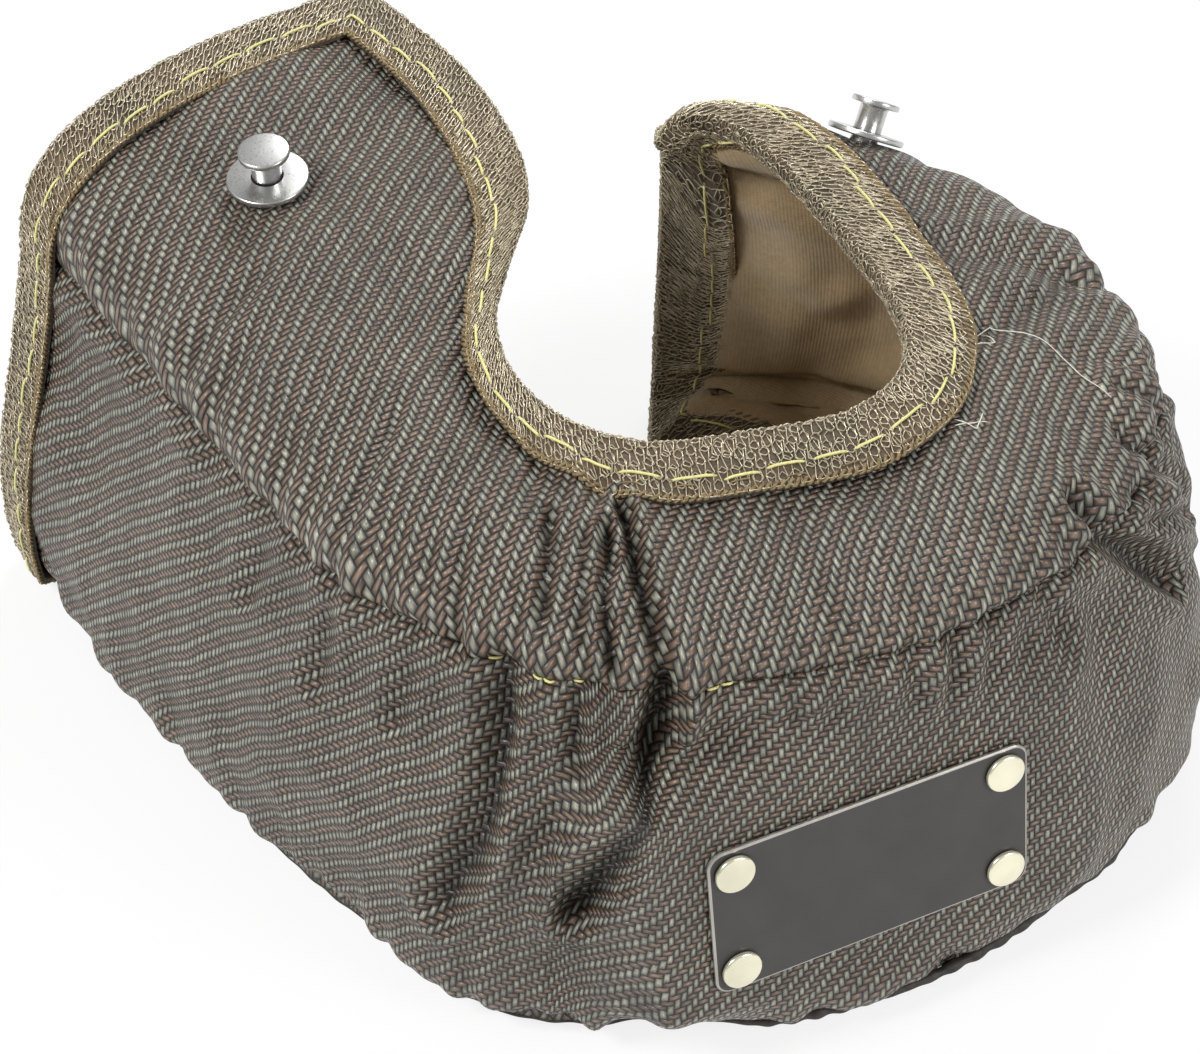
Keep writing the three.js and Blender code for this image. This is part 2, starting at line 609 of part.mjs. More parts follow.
rivetPlaces.forEach(([x, y], i) => {
  const place = plateSeat.clone().addScaledVector(plateAlong, x).addScaledVector(plateUp, y);
  const under = plateThickness + layerGap;
  const crown = under + rivetCapThickness;
  const tail = -layerGap - fabricThickness - layerGap;
  addTurned(`plate_rivet_${i + 1}`, [
    [0, tail - rivetTailThickness], [rivetTailRadius, tail - rivetTailThickness], [rivetTailRadius, tail],
    [rivetShankRadius, tail], [rivetShankRadius, under], [rivetCapRadius, under],
    [rivetCapRadius, crown - rivetChamferHeight], [rivetCapRadius - rivetChamfer, crown],
    [0, crown],
  ], place, plateOut, nickel);
  cutRound(["outer_side"], rivetShankRadius + shankClearance, -drillDepth, drillStart, place, plateOut);
  const pocket = tail - rivetTailThickness - layerGap;
  cutRound(["insulation_side"], rivetTailRadius + shankClearance, pocket, drillStart, place, plateOut);
});

// The origin lies under the middle of the blanket's box
const box = new THREE.Box3().setFromObject(blanket, true);
blanket.position.set(-(box.min.x + box.max.x) / 2, -(box.min.y + box.max.y) / 2, -box.min.z);

export default blanket;
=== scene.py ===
"""Looks of the turbo heat blanket: twill panels, knitted wire edge tape, thread, liner and fittings.

The blanket's surface repeats the CAD model's formulas at a finer step. Sizes are in millimetres, in the CAD
source's own frame, and to_frame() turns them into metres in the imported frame.
"""
import math

import bpy
import numpy as np
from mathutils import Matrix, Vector, noise


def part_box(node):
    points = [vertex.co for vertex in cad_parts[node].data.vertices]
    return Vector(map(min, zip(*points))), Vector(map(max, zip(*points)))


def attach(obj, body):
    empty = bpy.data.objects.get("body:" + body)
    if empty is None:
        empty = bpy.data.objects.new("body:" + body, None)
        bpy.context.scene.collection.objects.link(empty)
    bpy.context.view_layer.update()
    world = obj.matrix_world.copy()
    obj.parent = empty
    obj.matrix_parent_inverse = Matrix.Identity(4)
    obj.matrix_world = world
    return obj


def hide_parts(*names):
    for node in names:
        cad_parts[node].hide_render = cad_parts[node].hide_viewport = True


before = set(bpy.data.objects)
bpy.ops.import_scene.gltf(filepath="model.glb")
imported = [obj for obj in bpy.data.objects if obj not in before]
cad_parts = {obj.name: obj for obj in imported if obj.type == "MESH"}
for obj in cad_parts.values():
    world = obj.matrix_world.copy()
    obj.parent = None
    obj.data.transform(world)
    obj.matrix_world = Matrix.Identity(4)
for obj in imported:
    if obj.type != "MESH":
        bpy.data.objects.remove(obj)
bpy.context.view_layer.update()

# Sections round the blanket: throat edge on top, top seam, foot seam and lower throat edge, in plan
SECTIONS = np.array([
    [(-50, 99), (-115, 44), (-126, 36), (-53, 95)],
    [(-31, 75), (-98, 18), (-109, 8), (-35, 71)],
    [(-19, 51), (-83, -6), (-93, -15), (-23, 49)],
    [(-15, 31), (-68, -28), (-77, -35), (-19, 30)],
    [(-18, 12), (-53, -47), (-62, -54), (-21, 11)],
    [(-20, -5), (-38, -61), (-46, -69), (-23, -6)],
    [(-16, -20), (-21, -73), (-30, -84), (-18, -22)],
    [(-6, -32), (-4, -79), (-12, -92), (-7, -34)],
    [(9, -38), (13, -80), (10, -92), (9, -40)],
    [(27, -35), (35, -77), (35, -91), (27, -36)],
    [(44, -30), (58, -69), (62, -82), (45, -32)],
    [(55, -19), (81, -53), (88, -64), (56, -20)],
    [(58, -6), (98, -32), (110, -42), (59, -7)],
    [(56, 8), (107, -6), (120, -12), (57, 8)],
    [(50, 24), (104, 20), (117, 20), (51, 25)],
    [(43, 40), (93, 44), (102, 48), (44, 41)],
    [(35, 55), (74, 64), (79, 72), (36, 55)],
    [(25, 67), (47, 76), (49, 86), (24, 63)],
    [(13, 69), (14, 80), (14, 87), (12, 65)],
], float)
EDGE_HEIGHTS = (104, 102, 95)
END_CORNER = 14  # the right arm's top corner is round
SEAM_HEIGHTS = (84, 86, 78)
FOOT_HEIGHT = 5
FOOT_TURN = 10
EDGE_TURN = 10
UNDER_EDGE_HEIGHT = 1.8
TOP_CROWN = (5, -1, 3)
SHOULDER_FULLNESS = (1.25, 0.8, 0.75)
SHOULDER_INSET = (2, 10, 7)
SIDE_BELLY = (4, 5, 8)
CROWNED_REACH = 40  # a top panel narrower than this has less of the crown
CROWN_PLACE = 0.36
CROWN_STRETCH = 1.12  # the top panel's cloth is longer than its plan, by about this
WIDEST_HEM_TOP = 0.6  # share of a narrow panel that its hem may take
WIDEST_HEM_UNDER = 0.5
FABRIC = 1.0
INSULATION = 6.0
LINER = 0.8
GAP = 0.3
SEAM_SQUEEZE = 0.45
SQUEEZE_REACH = 0.16
HEM_SQUEEZE = (0, 0.16, 0.55, 1)  # insulation's share at the edge, half a hem in, a hem in and two hems in
HEM_THICKNESS = 0.4
HEM = 12.7
TAPE = 1.3
FOLD_REACH = 1.9
SECTION_PITCH = 23
SWELL_REACH = 2.1
CREASE_FADE = 0.22
FOOT_HOLD = 0.85
FOOT_PUCKER = 0.4
HOLD_FROM = 1.3  # height on the side from where the floor presses folds out
HOLD_OVER = 0.4
# Creases: from (section, height), to (section, height), width, depth, swell
CREASES = [
    ((7.45, 0.25), (7.85, 1.0), 4.0, 2.6, 1.6),
    ((7.85, 1.0), (7.15, 1.75), 4.0, 4.0, 2.6),
    ((6.3, 1.05), (5.9, 1.75), 4.5, 2.4, 1.8),
    ((6.5, 0.2), (6.75, 0.75), 5.0, 1.2, 0.8),
    ((11.55, 1.0), (12.5, 1.35), 4.0, 3.2, 2.4),
    ((12.45, 0.75), (12.9, 1.3), 4.0, 3.0, 2.4),
    ((14.1, 0.35), (14.3, 1.2), 5.0, 3.2, 2.2),
    ((7.9, 1.7), (7.9, 2.15), 5.0, 3.6, 2.4),
    ((10.9, 1.75), (11.1, 2.1), 4.5, 2.4, 1.6),
    ((13.2, 1.5), (13.4, 2.05), 5.0, 2.6, 1.8),
    ((15.7, 1.0), (15.9, 1.8), 6.0, 2.4, 1.6),
]
LAST = len(SECTIONS) - 1
FRONT = 9

PLATE_CENTRE = np.array([49, -82.5, 40.5])
PLATE_TURN = math.radians(25)
PLATE_LEAN = math.radians(11)
PLATE_LENGTH = 65
PLATE_HEIGHT = 33
PLATE_THICKNESS = 0.8
PLATE_CORNER = 3.2
RIVET_INSET = 5
FLAT_BORDER = 8
FLAT_FADE = 14
FLAT_REACH = 14
FOOT_BLEND = 14
ANCHORS = {"left": (1.4, 0.465, 0.6), "right": (16.3, 0.57, 2.7)}  # section, place across, inner sag

PLATE_ALONG = np.array([math.cos(PLATE_TURN), math.sin(PLATE_TURN), 0])
PLATE_OUT = np.array([
    math.sin(PLATE_TURN) * math.cos(PLATE_LEAN),
    -math.cos(PLATE_TURN) * math.cos(PLATE_LEAN),
    math.sin(PLATE_LEAN),
])
PLATE_UP = np.cross(PLATE_OUT, PLATE_ALONG)


def plan_shift():
    """From the CAD source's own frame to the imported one, read off the plate, whose place is known in both."""
    low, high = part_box("front_plate")
    middle = (np.array(low) + np.array(high)) * 500
    return middle - (PLATE_CENTRE + PLATE_OUT * (GAP + PLATE_THICKNESS / 2))


SHIFT = plan_shift() * (1, 1, 0)


def to_frame(points):
    placed = (np.asarray(points, float) + SHIFT) / 1000
    placed[..., 2] = np.maximum(placed[..., 2], 0)
    return placed


def smooth(x):
    t = np.clip(x, 0, 1)
    return t * t * (3 - 2 * t)


def section_curve(column, u):
    """One of the four plan curves at fractional sections u, as Catmull-Rom."""
    pts = SECTIONS[:, column]
    ext = np.vstack([2 * pts[0] - pts[1], pts, 2 * pts[-1] - pts[-2]])
    i = np.clip(np.floor(u).astype(int), 0, LAST - 1)
    t = (u - i)[:, None]
    a, b, c, d = ext[i], ext[i + 1], ext[i + 2], ext[i + 3]
    return 0.5 * (2 * b + (c - a) * t + (2 * a - 5 * b + 4 * c - d) * t**2 + (3 * b - a - 3 * c + d) * t**3)


def along(sizes, u):
    mouth, front, end = sizes
    first = mouth + (front - mouth) * smooth(u / FRONT)
    return np.where(u < FRONT, first, front + (end - front) * smooth((u - FRONT) / (LAST - FRONT)))


def bezier(p, q, r, s, t):
    t = t[:, None]
    return p * (1 - t) ** 3 + 3 * q * t * (1 - t) ** 2 + 3 * r * t * t * (1 - t) + s * t**3


def with_z(plan, z):
    return np.column_stack([plan, np.broadcast_to(z, len(plan))])


def lengths(rows):
    return np.linalg.norm(rows, axis=-1)


def unit(rows):
    return rows / lengths(rows)[..., None]


def step_out(start, end, distance):
    return end + unit(end - start) * np.broadcast_to(distance, len(end))[:, None]


PITCHES = lengths(np.diff(SECTIONS[:, 1], axis=0))
MEAN_PITCH = PITCHES.mean()


def body_surface(u, v):
    edge, seam, foot, under = (section_curve(k, u) for k in range(4))
    short = np.maximum(END_CORNER - (LAST - u) * PITCHES[-1], 0)
    edge_z = along(EDGE_HEIGHTS, u) - short**2 / (2 * END_CORNER)
    seam_z = along(SEAM_HEIGHTS, u)
    reach = lengths(seam - edge)
    crown = along(TOP_CROWN, u) * np.minimum(1, reach / CROWNED_REACH)
    inset = np.minimum(along(SHOULDER_INSET, u), reach / 3)
    shoulder = seam_z + (edge_z - seam_z + crown) * along(SHOULDER_FULLNESS, u)
    top = bezier(
        with_z(edge, edge_z),
        with_z(edge + (seam - edge) * CROWN_PLACE, edge_z + crown),
        with_z(step_out(edge, seam, -inset), shoulder),
        with_z(seam, seam_z),
        np.clip(v, 0, 1),
    )
    belly = along(SIDE_BELLY, u)
    rise = (seam_z - FOOT_HEIGHT) / 3
    side = bezier(
        with_z(seam, seam_z),
        with_z(step_out(edge, seam, belly), seam_z - rise),
        with_z(step_out(under, foot, belly), FOOT_HEIGHT + rise),
        with_z(foot, FOOT_HEIGHT),
        np.clip(v - 1, 0, 1),
    )
    span = lengths(foot - under)
    t = np.clip(v - 2, 0, 1)
    hem = np.minimum(HEM, span / 2)
    ends = np.minimum(u * PITCHES[0], (LAST - u) * PITCHES[-1])
    near_edge = 1 - smooth(((1 - t) * span - hem) / np.minimum(EDGE_TURN, span / 4))
    near_end = 1 - smooth((ends - HEM) / EDGE_TURN)
    hem_lift = UNDER_EDGE_HEIGHT * np.maximum(near_edge, near_end)
    lift = hem_lift + (FOOT_HEIGHT - hem_lift) * (1 - smooth(t * span / np.minimum(FOOT_TURN, span / 3)))
    bottom = with_z(foot + (under - foot) * t[:, None], lift)
    return np.where((v <= 1)[:, None], top, np.where((v <= 2)[:, None], side, bottom))


def plain(u, v):
    """The surface with the plate's flat, and how much of the flat there is at each point."""
    point = body_surface(u, v)
    offset = point - PLATE_CENTRE
    height = offset @ PLATE_OUT
    beyond_length = np.maximum(np.abs(offset @ PLATE_ALONG) - PLATE_LENGTH / 2 - FLAT_BORDER, 0)
    beyond_height = np.maximum(np.abs(offset @ PLATE_UP) - PLATE_HEIGHT / 2 - FLAT_BORDER, 0)
    near = 1 - smooth(np.hypot(beyond_length, beyond_height) / FLAT_FADE)
    near = near * np.where((v > 1) & (v <= 2), smooth((point[:, 2] - FOOT_HEIGHT) / FOOT_BLEND), 0)
    near = near * (1 - smooth((np.abs(height) - FLAT_REACH) / FLAT_REACH))
    return point - PLATE_OUT * (height * near)[:, None], near


def panel_normal(u, v, low, high):
    step = 0.01
    a = plain(np.maximum(u - step, 0), v)[0]
    b = plain(np.minimum(u + step, LAST), v)[0]
    inside = 1e-6
    v0 = np.maximum(v - step, low + inside)
    v1 = np.minimum(v + step, high - inside * (high < 3))
    c = plain(u, v0)[0]
    d = plain(u, v1)[0]
    return unit(np.cross(d - c, b - a))


MITRE_REACH = 0.12  # height beside a seam in which the direction turns into the mitre
SHARPEST_MITRE = 0.7


def offset_direction(u, v):
    """Normal of the panel, turning into the seam's mitre near a seam."""
    low = np.clip(np.floor(v), 0, 2)
    n = panel_normal(u, np.clip(v, low + 1e-6, low + 1 - 1e-6), low, low + 1)
    for seam in (1.0, 2.0):
        share = 1 - smooth(np.abs(v - seam) / MITRE_REACH)
        near = share > 0
        if not near.any():
            continue
        un = u[near]
        at = np.full(len(un), seam)
        before = panel_normal(un, at - 1e-6, at - 1, at)
        after = panel_normal(un, at + 1e-6, at, at + 1)
        mitre = unit(before + after)
        mitre /= np.maximum((mitre * before).sum(1), SHARPEST_MITRE)[:, None]
        k = share[near][:, None]
        n[near] = n[near] * (1 - k) + mitre * k
    return n


def crease_depth(u, v):
    total = np.zeros(len(u))
    for (u0, v0), (u1, v1), width, depth, swell in CREASES:
        t = (v - v0) / (v1 - v0)
        fade = smooth((t + CREASE_FADE) / CREASE_FADE) * smooth((1 + CREASE_FADE - t) / CREASE_FADE)
        off = (u - (u0 + (u1 - u0) * t)) * SECTION_PITCH / width
        sides = np.exp(-((np.abs(off) - SWELL_REACH) ** 2))
        total += fade * (swell * sides - depth * np.exp(-off * off))
    return total


def top_width(u):
    return lengths(section_curve(1, u) - section_curve(0, u)) * CROWN_STRETCH


def under_width(u):
    return lengths(section_curve(2, u) - section_curve(3, u))


def top_share(u, w):
    """Height of the line w millimetres in from the throat edge on top."""
    return np.minimum(w / top_width(u), WIDEST_HEM_TOP)


def under_share(u, w):
    return np.minimum(w / under_width(u), WIDEST_HEM_UNDER)


def edge_distance(u, v):
    """Distance in the cloth from the nearest bound edge, in millimetres."""
    top = v * top_width(u)
    under = (3 - v) * under_width(u)
    ends = np.minimum(u * PITCHES[0], (LAST - u) * PITCHES[-1])
    return np.minimum(np.minimum(top, under), ends)


def fold_height(u, v):
    held = 1 - FOOT_HOLD * smooth((v - HOLD_FROM) / HOLD_OVER)
    depth = crease_depth(u, v) * CREASE_SHARE
    below = np.minimum(depth, 0) * (1 - smooth((v - 2) / FOOT_PUCKER))
    return np.where(v <= 2, depth, below) * held


TOP_LENGTH = 45.0
SIDE_LENGTH = 85.0
BOTTOM_LENGTH = 60.0
# Sharp folds in the cloth: (section, height) points, half width, depth and height of the lips beside it
SHARP_FOLDS = [
    (((7.62, 0.30), (7.75, 0.60), (7.85, 0.80), (7.90, 0.96)), 1.7, 3.2, 1.5),
    (((7.90, 1.02), (7.82, 1.11), (7.62, 1.20), (7.42, 1.30), (7.32, 1.42), (7.20, 1.58)), 2.5, 5.4, 2.6),
    (((8.05, 1.02), (8.00, 1.12), (7.78, 1.24), (7.58, 1.34), (7.48, 1.46)), 1.1, 1.7, 1.0),
    (((7.44, 0.42), (7.32, 0.66), (7.38, 0.90)), 1.6, 2.6, 1.2),
    (((7.16, 0.50), (7.06, 0.82)), 1.6, 1.2, 0.7),
    (((6.74, 0.44), (6.64, 0.82)), 1.6, 2.0, 1.0),
    (((6.24, 1.02), (6.27, 1.35), (6.18, 1.47), (5.94, 1.68)), 3.4, 3.6, 1.8),
    (((6.55, 1.02), (6.64, 1.16), (6.56, 1.34)), 2.2, 1.4, 0.9),
    (((7.0, 1.03), (7.02, 1.2)), 1.8, 1.3, 0.8),
    (((11.48, 0.82), (11.62, 1.01), (11.92, 1.13), (12.30, 1.32)), 2.0, 3.6, 1.8),
    (((11.78, 1.0), (12.16, 1.10), (12.6, 1.2)), 1.3, 1.7, 1.0),
    (((12.36, 0.86), (12.44, 1.0)), 2.4, 3.6, 1.2),
    (((12.44, 1.0), (12.7, 1.12), (13.0, 1.34)), 1.9, 2.6, 1.4),
    (((14.2, 0.74), (13.35, 0.45), (12.60, 0.24)), 2.8, 1.7, 0.9),
    (((12.76, 0.74), (12.90, 0.94)), 1.5, 1.8, 0.9),
    (((13.3, 0.9), (13.36, 1.0), (13.5, 1.14)), 1.7, 2.0, 1.0),
    (((14.2, 0.8), (14.25, 1.0), (14.3, 1.24)), 2.0, 2.0, 1.0),
    (((7.74, 1.78), (7.80, 1.97)), 3.0, 2.6, 1.2),
    (((8.9, 1.02), (8.96, 1.12)), 1.8, 0.9, 0.6),
    (((9.84, 1.02), (9.90, 1.32)), 1.8, 1.2, 0.8),
    (((10.16, 1.02), (10.14, 1.38)), 1.8, 1.4, 0.9),
    (((10.46, 1.02), (10.40, 1.28)), 1.7, 1.2, 0.8),
    (((10.95, 1.02), (11.05, 1.2)), 1.8, 1.3, 0.8),
    (((5.3, 1.02), (5.2, 1.26)), 2.4, 1.3, 0.8),
    (((4.4, 1.02), (4.3, 1.3)), 2.6, 1.4, 0.8),
    (((3.4, 1.02), (3.3, 1.25)), 2.6, 1.2, 0.7),
    (((4.3, 0.55), (4.4, 0.95)), 2.6, 1.0, 0.6),
    (((2.1, 0.6), (2.2, 0.97)), 2.8, 1.0, 0.6),
    (((5.7, 0.6), (5.75, 0.96)), 2.2, 1.0, 0.6),
]
DEEPEST = 5.6  # how far a fold can dip, in the room that the insulation leaves
CREASE_SHARE = 0.6  # the rest of a CAD crease is in the sharp folds
FOLD_EDGE = 1.4  # power that sets how fast a fold's wall falls off
LIP_PLACE = 2.3  # in half widths from the fold
PAINTED_SHADE_DEPTH = 3.2  # depth of a fold at which the painted shade in the cloth's colour is as dark as it gets
SEAM_GROOVE, GROOVE_REACH = 2.0, 1.3
SEAM_ROLL, ROLL_PLACE, ROLL_REACH = 0.7, 5.5, 3.0
SEAM_PUCKER, PUCKER_REACH, PUCKER_START = 0.95, 13.0, 1.8
EDGE_PUCKER, EDGE_PUCKER_REACH = 0.6, 9.0


def cloth_place(u, v):
    """Millimetres along and down the cloth, near enough for the distance to a fold."""
    down = np.minimum(v, 1) * TOP_LENGTH + np.clip(v - 1, 0, 1) * SIDE_LENGTH
    return np.column_stack([u * MEAN_PITCH, down + np.clip(v - 2, 0, 1) * BOTTOM_LENGTH])


def sharp_folds(u, v):
    place = cloth_place(u, v)
    total = np.zeros(len(u))
    for line, width, depth, lip in SHARP_FOLDS:
        ends = cloth_place(np.array([q[0] for q in line]), np.array([q[1] for q in line]))
        away = np.full(len(u), 1e9)
        for a, b in zip(ends, ends[1:]):
            way = b - a
            t = np.clip(((place - a) @ way) / (way @ way), 0, 1)
            away = np.minimum(away, lengths(place - a - t[:, None] * way))
        total -= depth * np.exp(-((away / width) ** FOLD_EDGE))
        total += lip * np.exp(-((away / width - LIP_PLACE) ** 2))
    return total


def waves(s, seeds):
    """An uneven ripple along s, from a few sines of unlike pitch."""
    return sum(np.sin(s * 2 * np.pi / pitch + phase) * share for pitch, phase, share in seeds)


def fine_folds(u, v):
    """Sharp folds, seam grooves and rolls, and puckers beside the seams and the bound edge, which the CAD model
    leaves out.
    """
    s = u * SECTION_PITCH
    total = sharp_folds(u, v)
    for seam, above, below in ((1.0, TOP_LENGTH, SIDE_LENGTH), (2.0, SIDE_LENGTH, BOTTOM_LENGTH)):
        away = np.where(v < seam, (seam - v) * above, (v - seam) * below)
        total -= SEAM_GROOVE * np.exp(-away / GROOVE_REACH)
        total += SEAM_ROLL * np.exp(-(((away - ROLL_PLACE) / ROLL_REACH) ** 2))
        ripple = waves(s + 0.3 * away, ((11.0, seam, 0.5), (7.3, 2 * seam, 0.4), (17.0, 0.4, 0.5)))
        pucker = np.exp(-away / PUCKER_REACH) * (1 - np.exp(-((away / PUCKER_START) ** 2)))
        total += SEAM_PUCKER * ripple * pucker
    edge = edge_distance(u, v)
    ripple = waves(s, ((9.0, 0.3, 0.5), (14.5, 1.7, 0.5)))
    near = np.exp(-np.maximum(edge - HEM, 0) / EDGE_PUCKER_REACH) * smooth(edge / HEM - 0.6)
    total += EDGE_PUCKER * ripple * near
    return total


def lumps(points, layers):
    """Soft noise from layers of (size, seed, rise)."""
    total = np.zeros(len(points))
    for size, seed, rise in layers:
        shift = Vector((seed * 7.1, seed * 3.3, seed * 1.7))
        total += rise * np.array([noise.noise(Vector(p) / size + shift) for p in points])
    return total


SOFT_LUMPS = ((30, 1, 2.6), (12, 2, 1.0))
RUMPLES = ((22, 5, 5.0), (9, 6, 1.4))
LINER_SAG = 1.2  # how far the loose liner hangs in from the insulation, less its rumples
LOOSE_FROM = 0.3  # in hems from the edge
UNDER_DETAIL = 0.3  # share of the fine folds that the bottom panel shows
THINNEST_BATT = 0.2


def outer_surface(u, v, detail=True):
    point, near = plain(u, v)
    out = offset_direction(u, v)
    edge = edge_distance(u, v)
    open_cloth = (1 - near) * smooth(edge / HEM)
    height = fold_height(u, v) * (1 - near) * np.clip(edge / HEM, 0, 1)
    if detail:
        height = height + fine_folds(u, v) * open_cloth * np.where(v <= 2, 1, UNDER_DETAIL)
        height = height + lumps(point, SOFT_LUMPS) * open_cloth * np.where(v <= 2, 1, 0)
        height = np.where(height < 0, -DEEPEST * np.tanh(-height / DEEPEST), height)
    return point + out * height[:, None], out, height


def inner_fold(u, v):
    """How far the large folds press the layers under the cover."""
    return np.minimum(fold_height(u, v), 0) * np.clip(edge_distance(u, v) / HEM, 0, 1)


def laminate_depth(u, v):
    """How deep the liner's inner face lies under the outer surface."""
    fill = np.interp(edge_distance(u, v), (0, HEM / 2, HEM, 2 * HEM), HEM_SQUEEZE)
    seam = np.minimum(np.abs(v - 1), np.abs(v - 2))
    fill = fill * (1 - (1 - SEAM_SQUEEZE) * (1 - smooth(seam / SQUEEZE_REACH)))
    return FABRIC + 2 * GAP + LINER + HEM_THICKNESS + (INSULATION - HEM_THICKNESS) * fill


# Meshes
def link(mesh, name, material):
    obj = bpy.data.objects.new(name, mesh)
    bpy.context.scene.collection.objects.link(obj)
    mesh.materials.append(material)
    mesh.polygons.foreach_set("use_smooth", [True] * len(mesh.polygons))
    mesh.update()
    return obj


def settle(obj, node=None):
    """Every piece rides on the one body. Some stand for a CAD node."""
    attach(obj, "root")
    if node:
        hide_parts(node)


def new_mesh(name, points, faces):
    mesh = bpy.data.meshes.new(name)
    mesh.from_pydata(to_frame(points).tolist(), [], faces)
    return mesh


def mesh_from(name, points, faces, material, uv):
    """A mesh from millimetre points. uv holds one pair for each point, in millimetres of cloth."""
    mesh = new_mesh(name, points, faces.tolist())
    layer = mesh.uv_layers.new(name="weave")
    index = np.empty(len(mesh.loops), int)
    mesh.loops.foreach_get("vertex_index", index)
    layer.data.foreach_set("uv", uv[index].ravel())
    return link(mesh, name, material)


def grid_faces(n, m):
    """Quads of an n by m grid of points, the first count slowest."""
    a = (np.arange(n - 1)[:, None] * m + np.arange(m - 1)).ravel()
    return np.column_stack([a, a + 1, a + m + 1, a + m])


def ring_faces(n, m, closed):
    """Quads of n rings of m points each. The last ring joins the first where they are closed."""
    i = np.arange(n if closed else n - 1)[:, None]
    j = np.arange(m)
    here, there, beside = i * m, (i + 1) % n * m, (j + 1) % m
    return np.stack([here + j, there + j, there + beside, here + beside], axis=-1).reshape(-1, 4)


def shell(name, shape, front, back, uv, material):
    """A closed thin solid between two grids of points of the same shape."""
    n, m = shape
    size = n * m
    face = grid_faces(n, m)
    rear = face[:, ::-1] + size
    rim = np.concatenate([
        np.arange(m), np.arange(2, n + 1) * m - 1, n * m - 1 - np.arange(1, m), np.arange(n - 2, -1, -1) * m,
    ])
    rim = rim[np.r_[True, rim[1:] != rim[:-1]]]
    if rim[0] == rim[-1]:
        rim = rim[:-1]
    after = np.roll(rim, -1)
    wall = np.column_stack([after, rim, rim + size, after + size])
    faces = np.vstack([face, rear, wall])
    return mesh_from(name, np.vstack([front, back]), faces, material, np.vstack([uv, uv]))


def frames_along(path, normal, closed):
    ahead = np.roll(path, -1, 0) - np.roll(path, 1, 0)
    if not closed:
        ahead[0] = path[1] - path[0]
        ahead[-1] = path[-1] - path[-2]
    ahead = unit(ahead)
    side = unit(np.cross(ahead, normal))
    return np.cross(side, ahead), side


def tube(path, normal, radius, sides, closed, start):
    """Points and faces of a round tube."""
    up, side = frames_along(path, normal, closed)
    angle = np.arange(sides) * 2 * np.pi / sides
    ring = np.cos(angle)[None, :, None] * up[:, None] + np.sin(angle)[None, :, None] * side[:, None]
    points = (path[:, None] + ring * radius).reshape(-1, 3)
    n = len(path)
    faces = (ring_faces(n, sides, closed) + start).tolist()
    if not closed:
        faces.append((np.arange(sides) + start).tolist())
        faces.append((np.arange(sides)[::-1] + (n - 1) * sides + start).tolist())
    return points, faces


def tubes_mesh(name, paths, radius, sides, material, closed=False):
    """Many tubes as one piece. paths holds (points, normals) pairs."""
    points = []
    faces = []
    count = 0
    for path, normal in paths:
        p, f = tube(path, normal, radius, sides, closed, count)
        points.append(p)
        faces.extend(f)
        count += len(p)
    return link(new_mesh(name, np.vstack(points), faces), name, material)


# Materials
class Graph:
    """Short calls for the nodes of one material or world."""

    def __init__(self, owner):
        self.owner = owner
        owner.use_nodes = True
        self.nodes = owner.node_tree.nodes
        self.links = owner.node_tree.links

    def feed(self, socket, value):
        if isinstance(value, bpy.types.NodeSocket):
            self.links.new(value, socket)
        else:
            socket.default_value = value

    def node(self, kind, inputs=()):
        node = self.nodes.new("ShaderNode" + kind)
        for key, value in inputs:
            self.feed(node.inputs[key], value)
        return node

    def calc(self, operation, *values):
        node = self.node("Math", enumerate(values))
        node.operation = operation
        return node.outputs[0]

    def either(self, share, low, high):
        return self.node("Mix", ((0, share), (2, low), (3, high))).outputs[0]

    def blend(self, share, low, high, mode="MIX"):
        node = self.node("Mix")
        node.data_type = "RGBA"
        node.blend_type = mode
        for key, value in (("Factor", share), ("A", low), ("B", high)):
            self.feed(node.inputs[key], value)
        return node.outputs["Result"]

    def noise(self, scale, detail=2.0, source=None):
        if source is None:
            source = self.node("TexCoord").outputs["Object"]
        return self.node("TexNoise", (("Scale", scale), ("Detail", detail), ("Vector", source))).outputs["Fac"]

    def ranged(self, value, low, high, to_low=0.0, to_high=1.0):
        names = ("Value", "From Min", "From Max", "To Min", "To Max")
        span = zip(names, (value, low, high, to_low, to_high))
        return self.node("MapRange", span).outputs["Result"]

    def bump(self, height, distance, strength=1.0, under=()):
        inputs = [("Distance", distance), ("Strength", strength), ("Height", height)]
        return self.node("Bump", inputs + [("Normal", normal) for normal in under]).outputs["Normal"]

    def weave(self):
        """The cloth's own millimetres, as a pair and as its two numbers."""
        uv = self.node("UVMap")
        uv.uv_map = "weave"
        split = self.node("SeparateXYZ", ((0, uv.outputs["UV"]),))
        return uv.outputs["UV"], split.outputs["X"], split.outputs["Y"]

    def surface(self, *inputs):
        """Fill in the surface by its inputs' names, and hand back the material."""
        shader = self.nodes["Principled BSDF"]
        for key, value in inputs:
            self.feed(shader.inputs[key], value)
        return self.owner


def srgb(r, g, b):
    """A colour as it looks on screen, 0 to 255, in the renderer's linear numbers."""
    def linear(c):
        c /= 255
        return c / 12.92 if c <= 0.04045 else ((c + 0.055) / 1.055) ** 2.4
    return (linear(r), linear(g), linear(b), 1.0)


TOW = 1.1  # width of a tow, millimetres


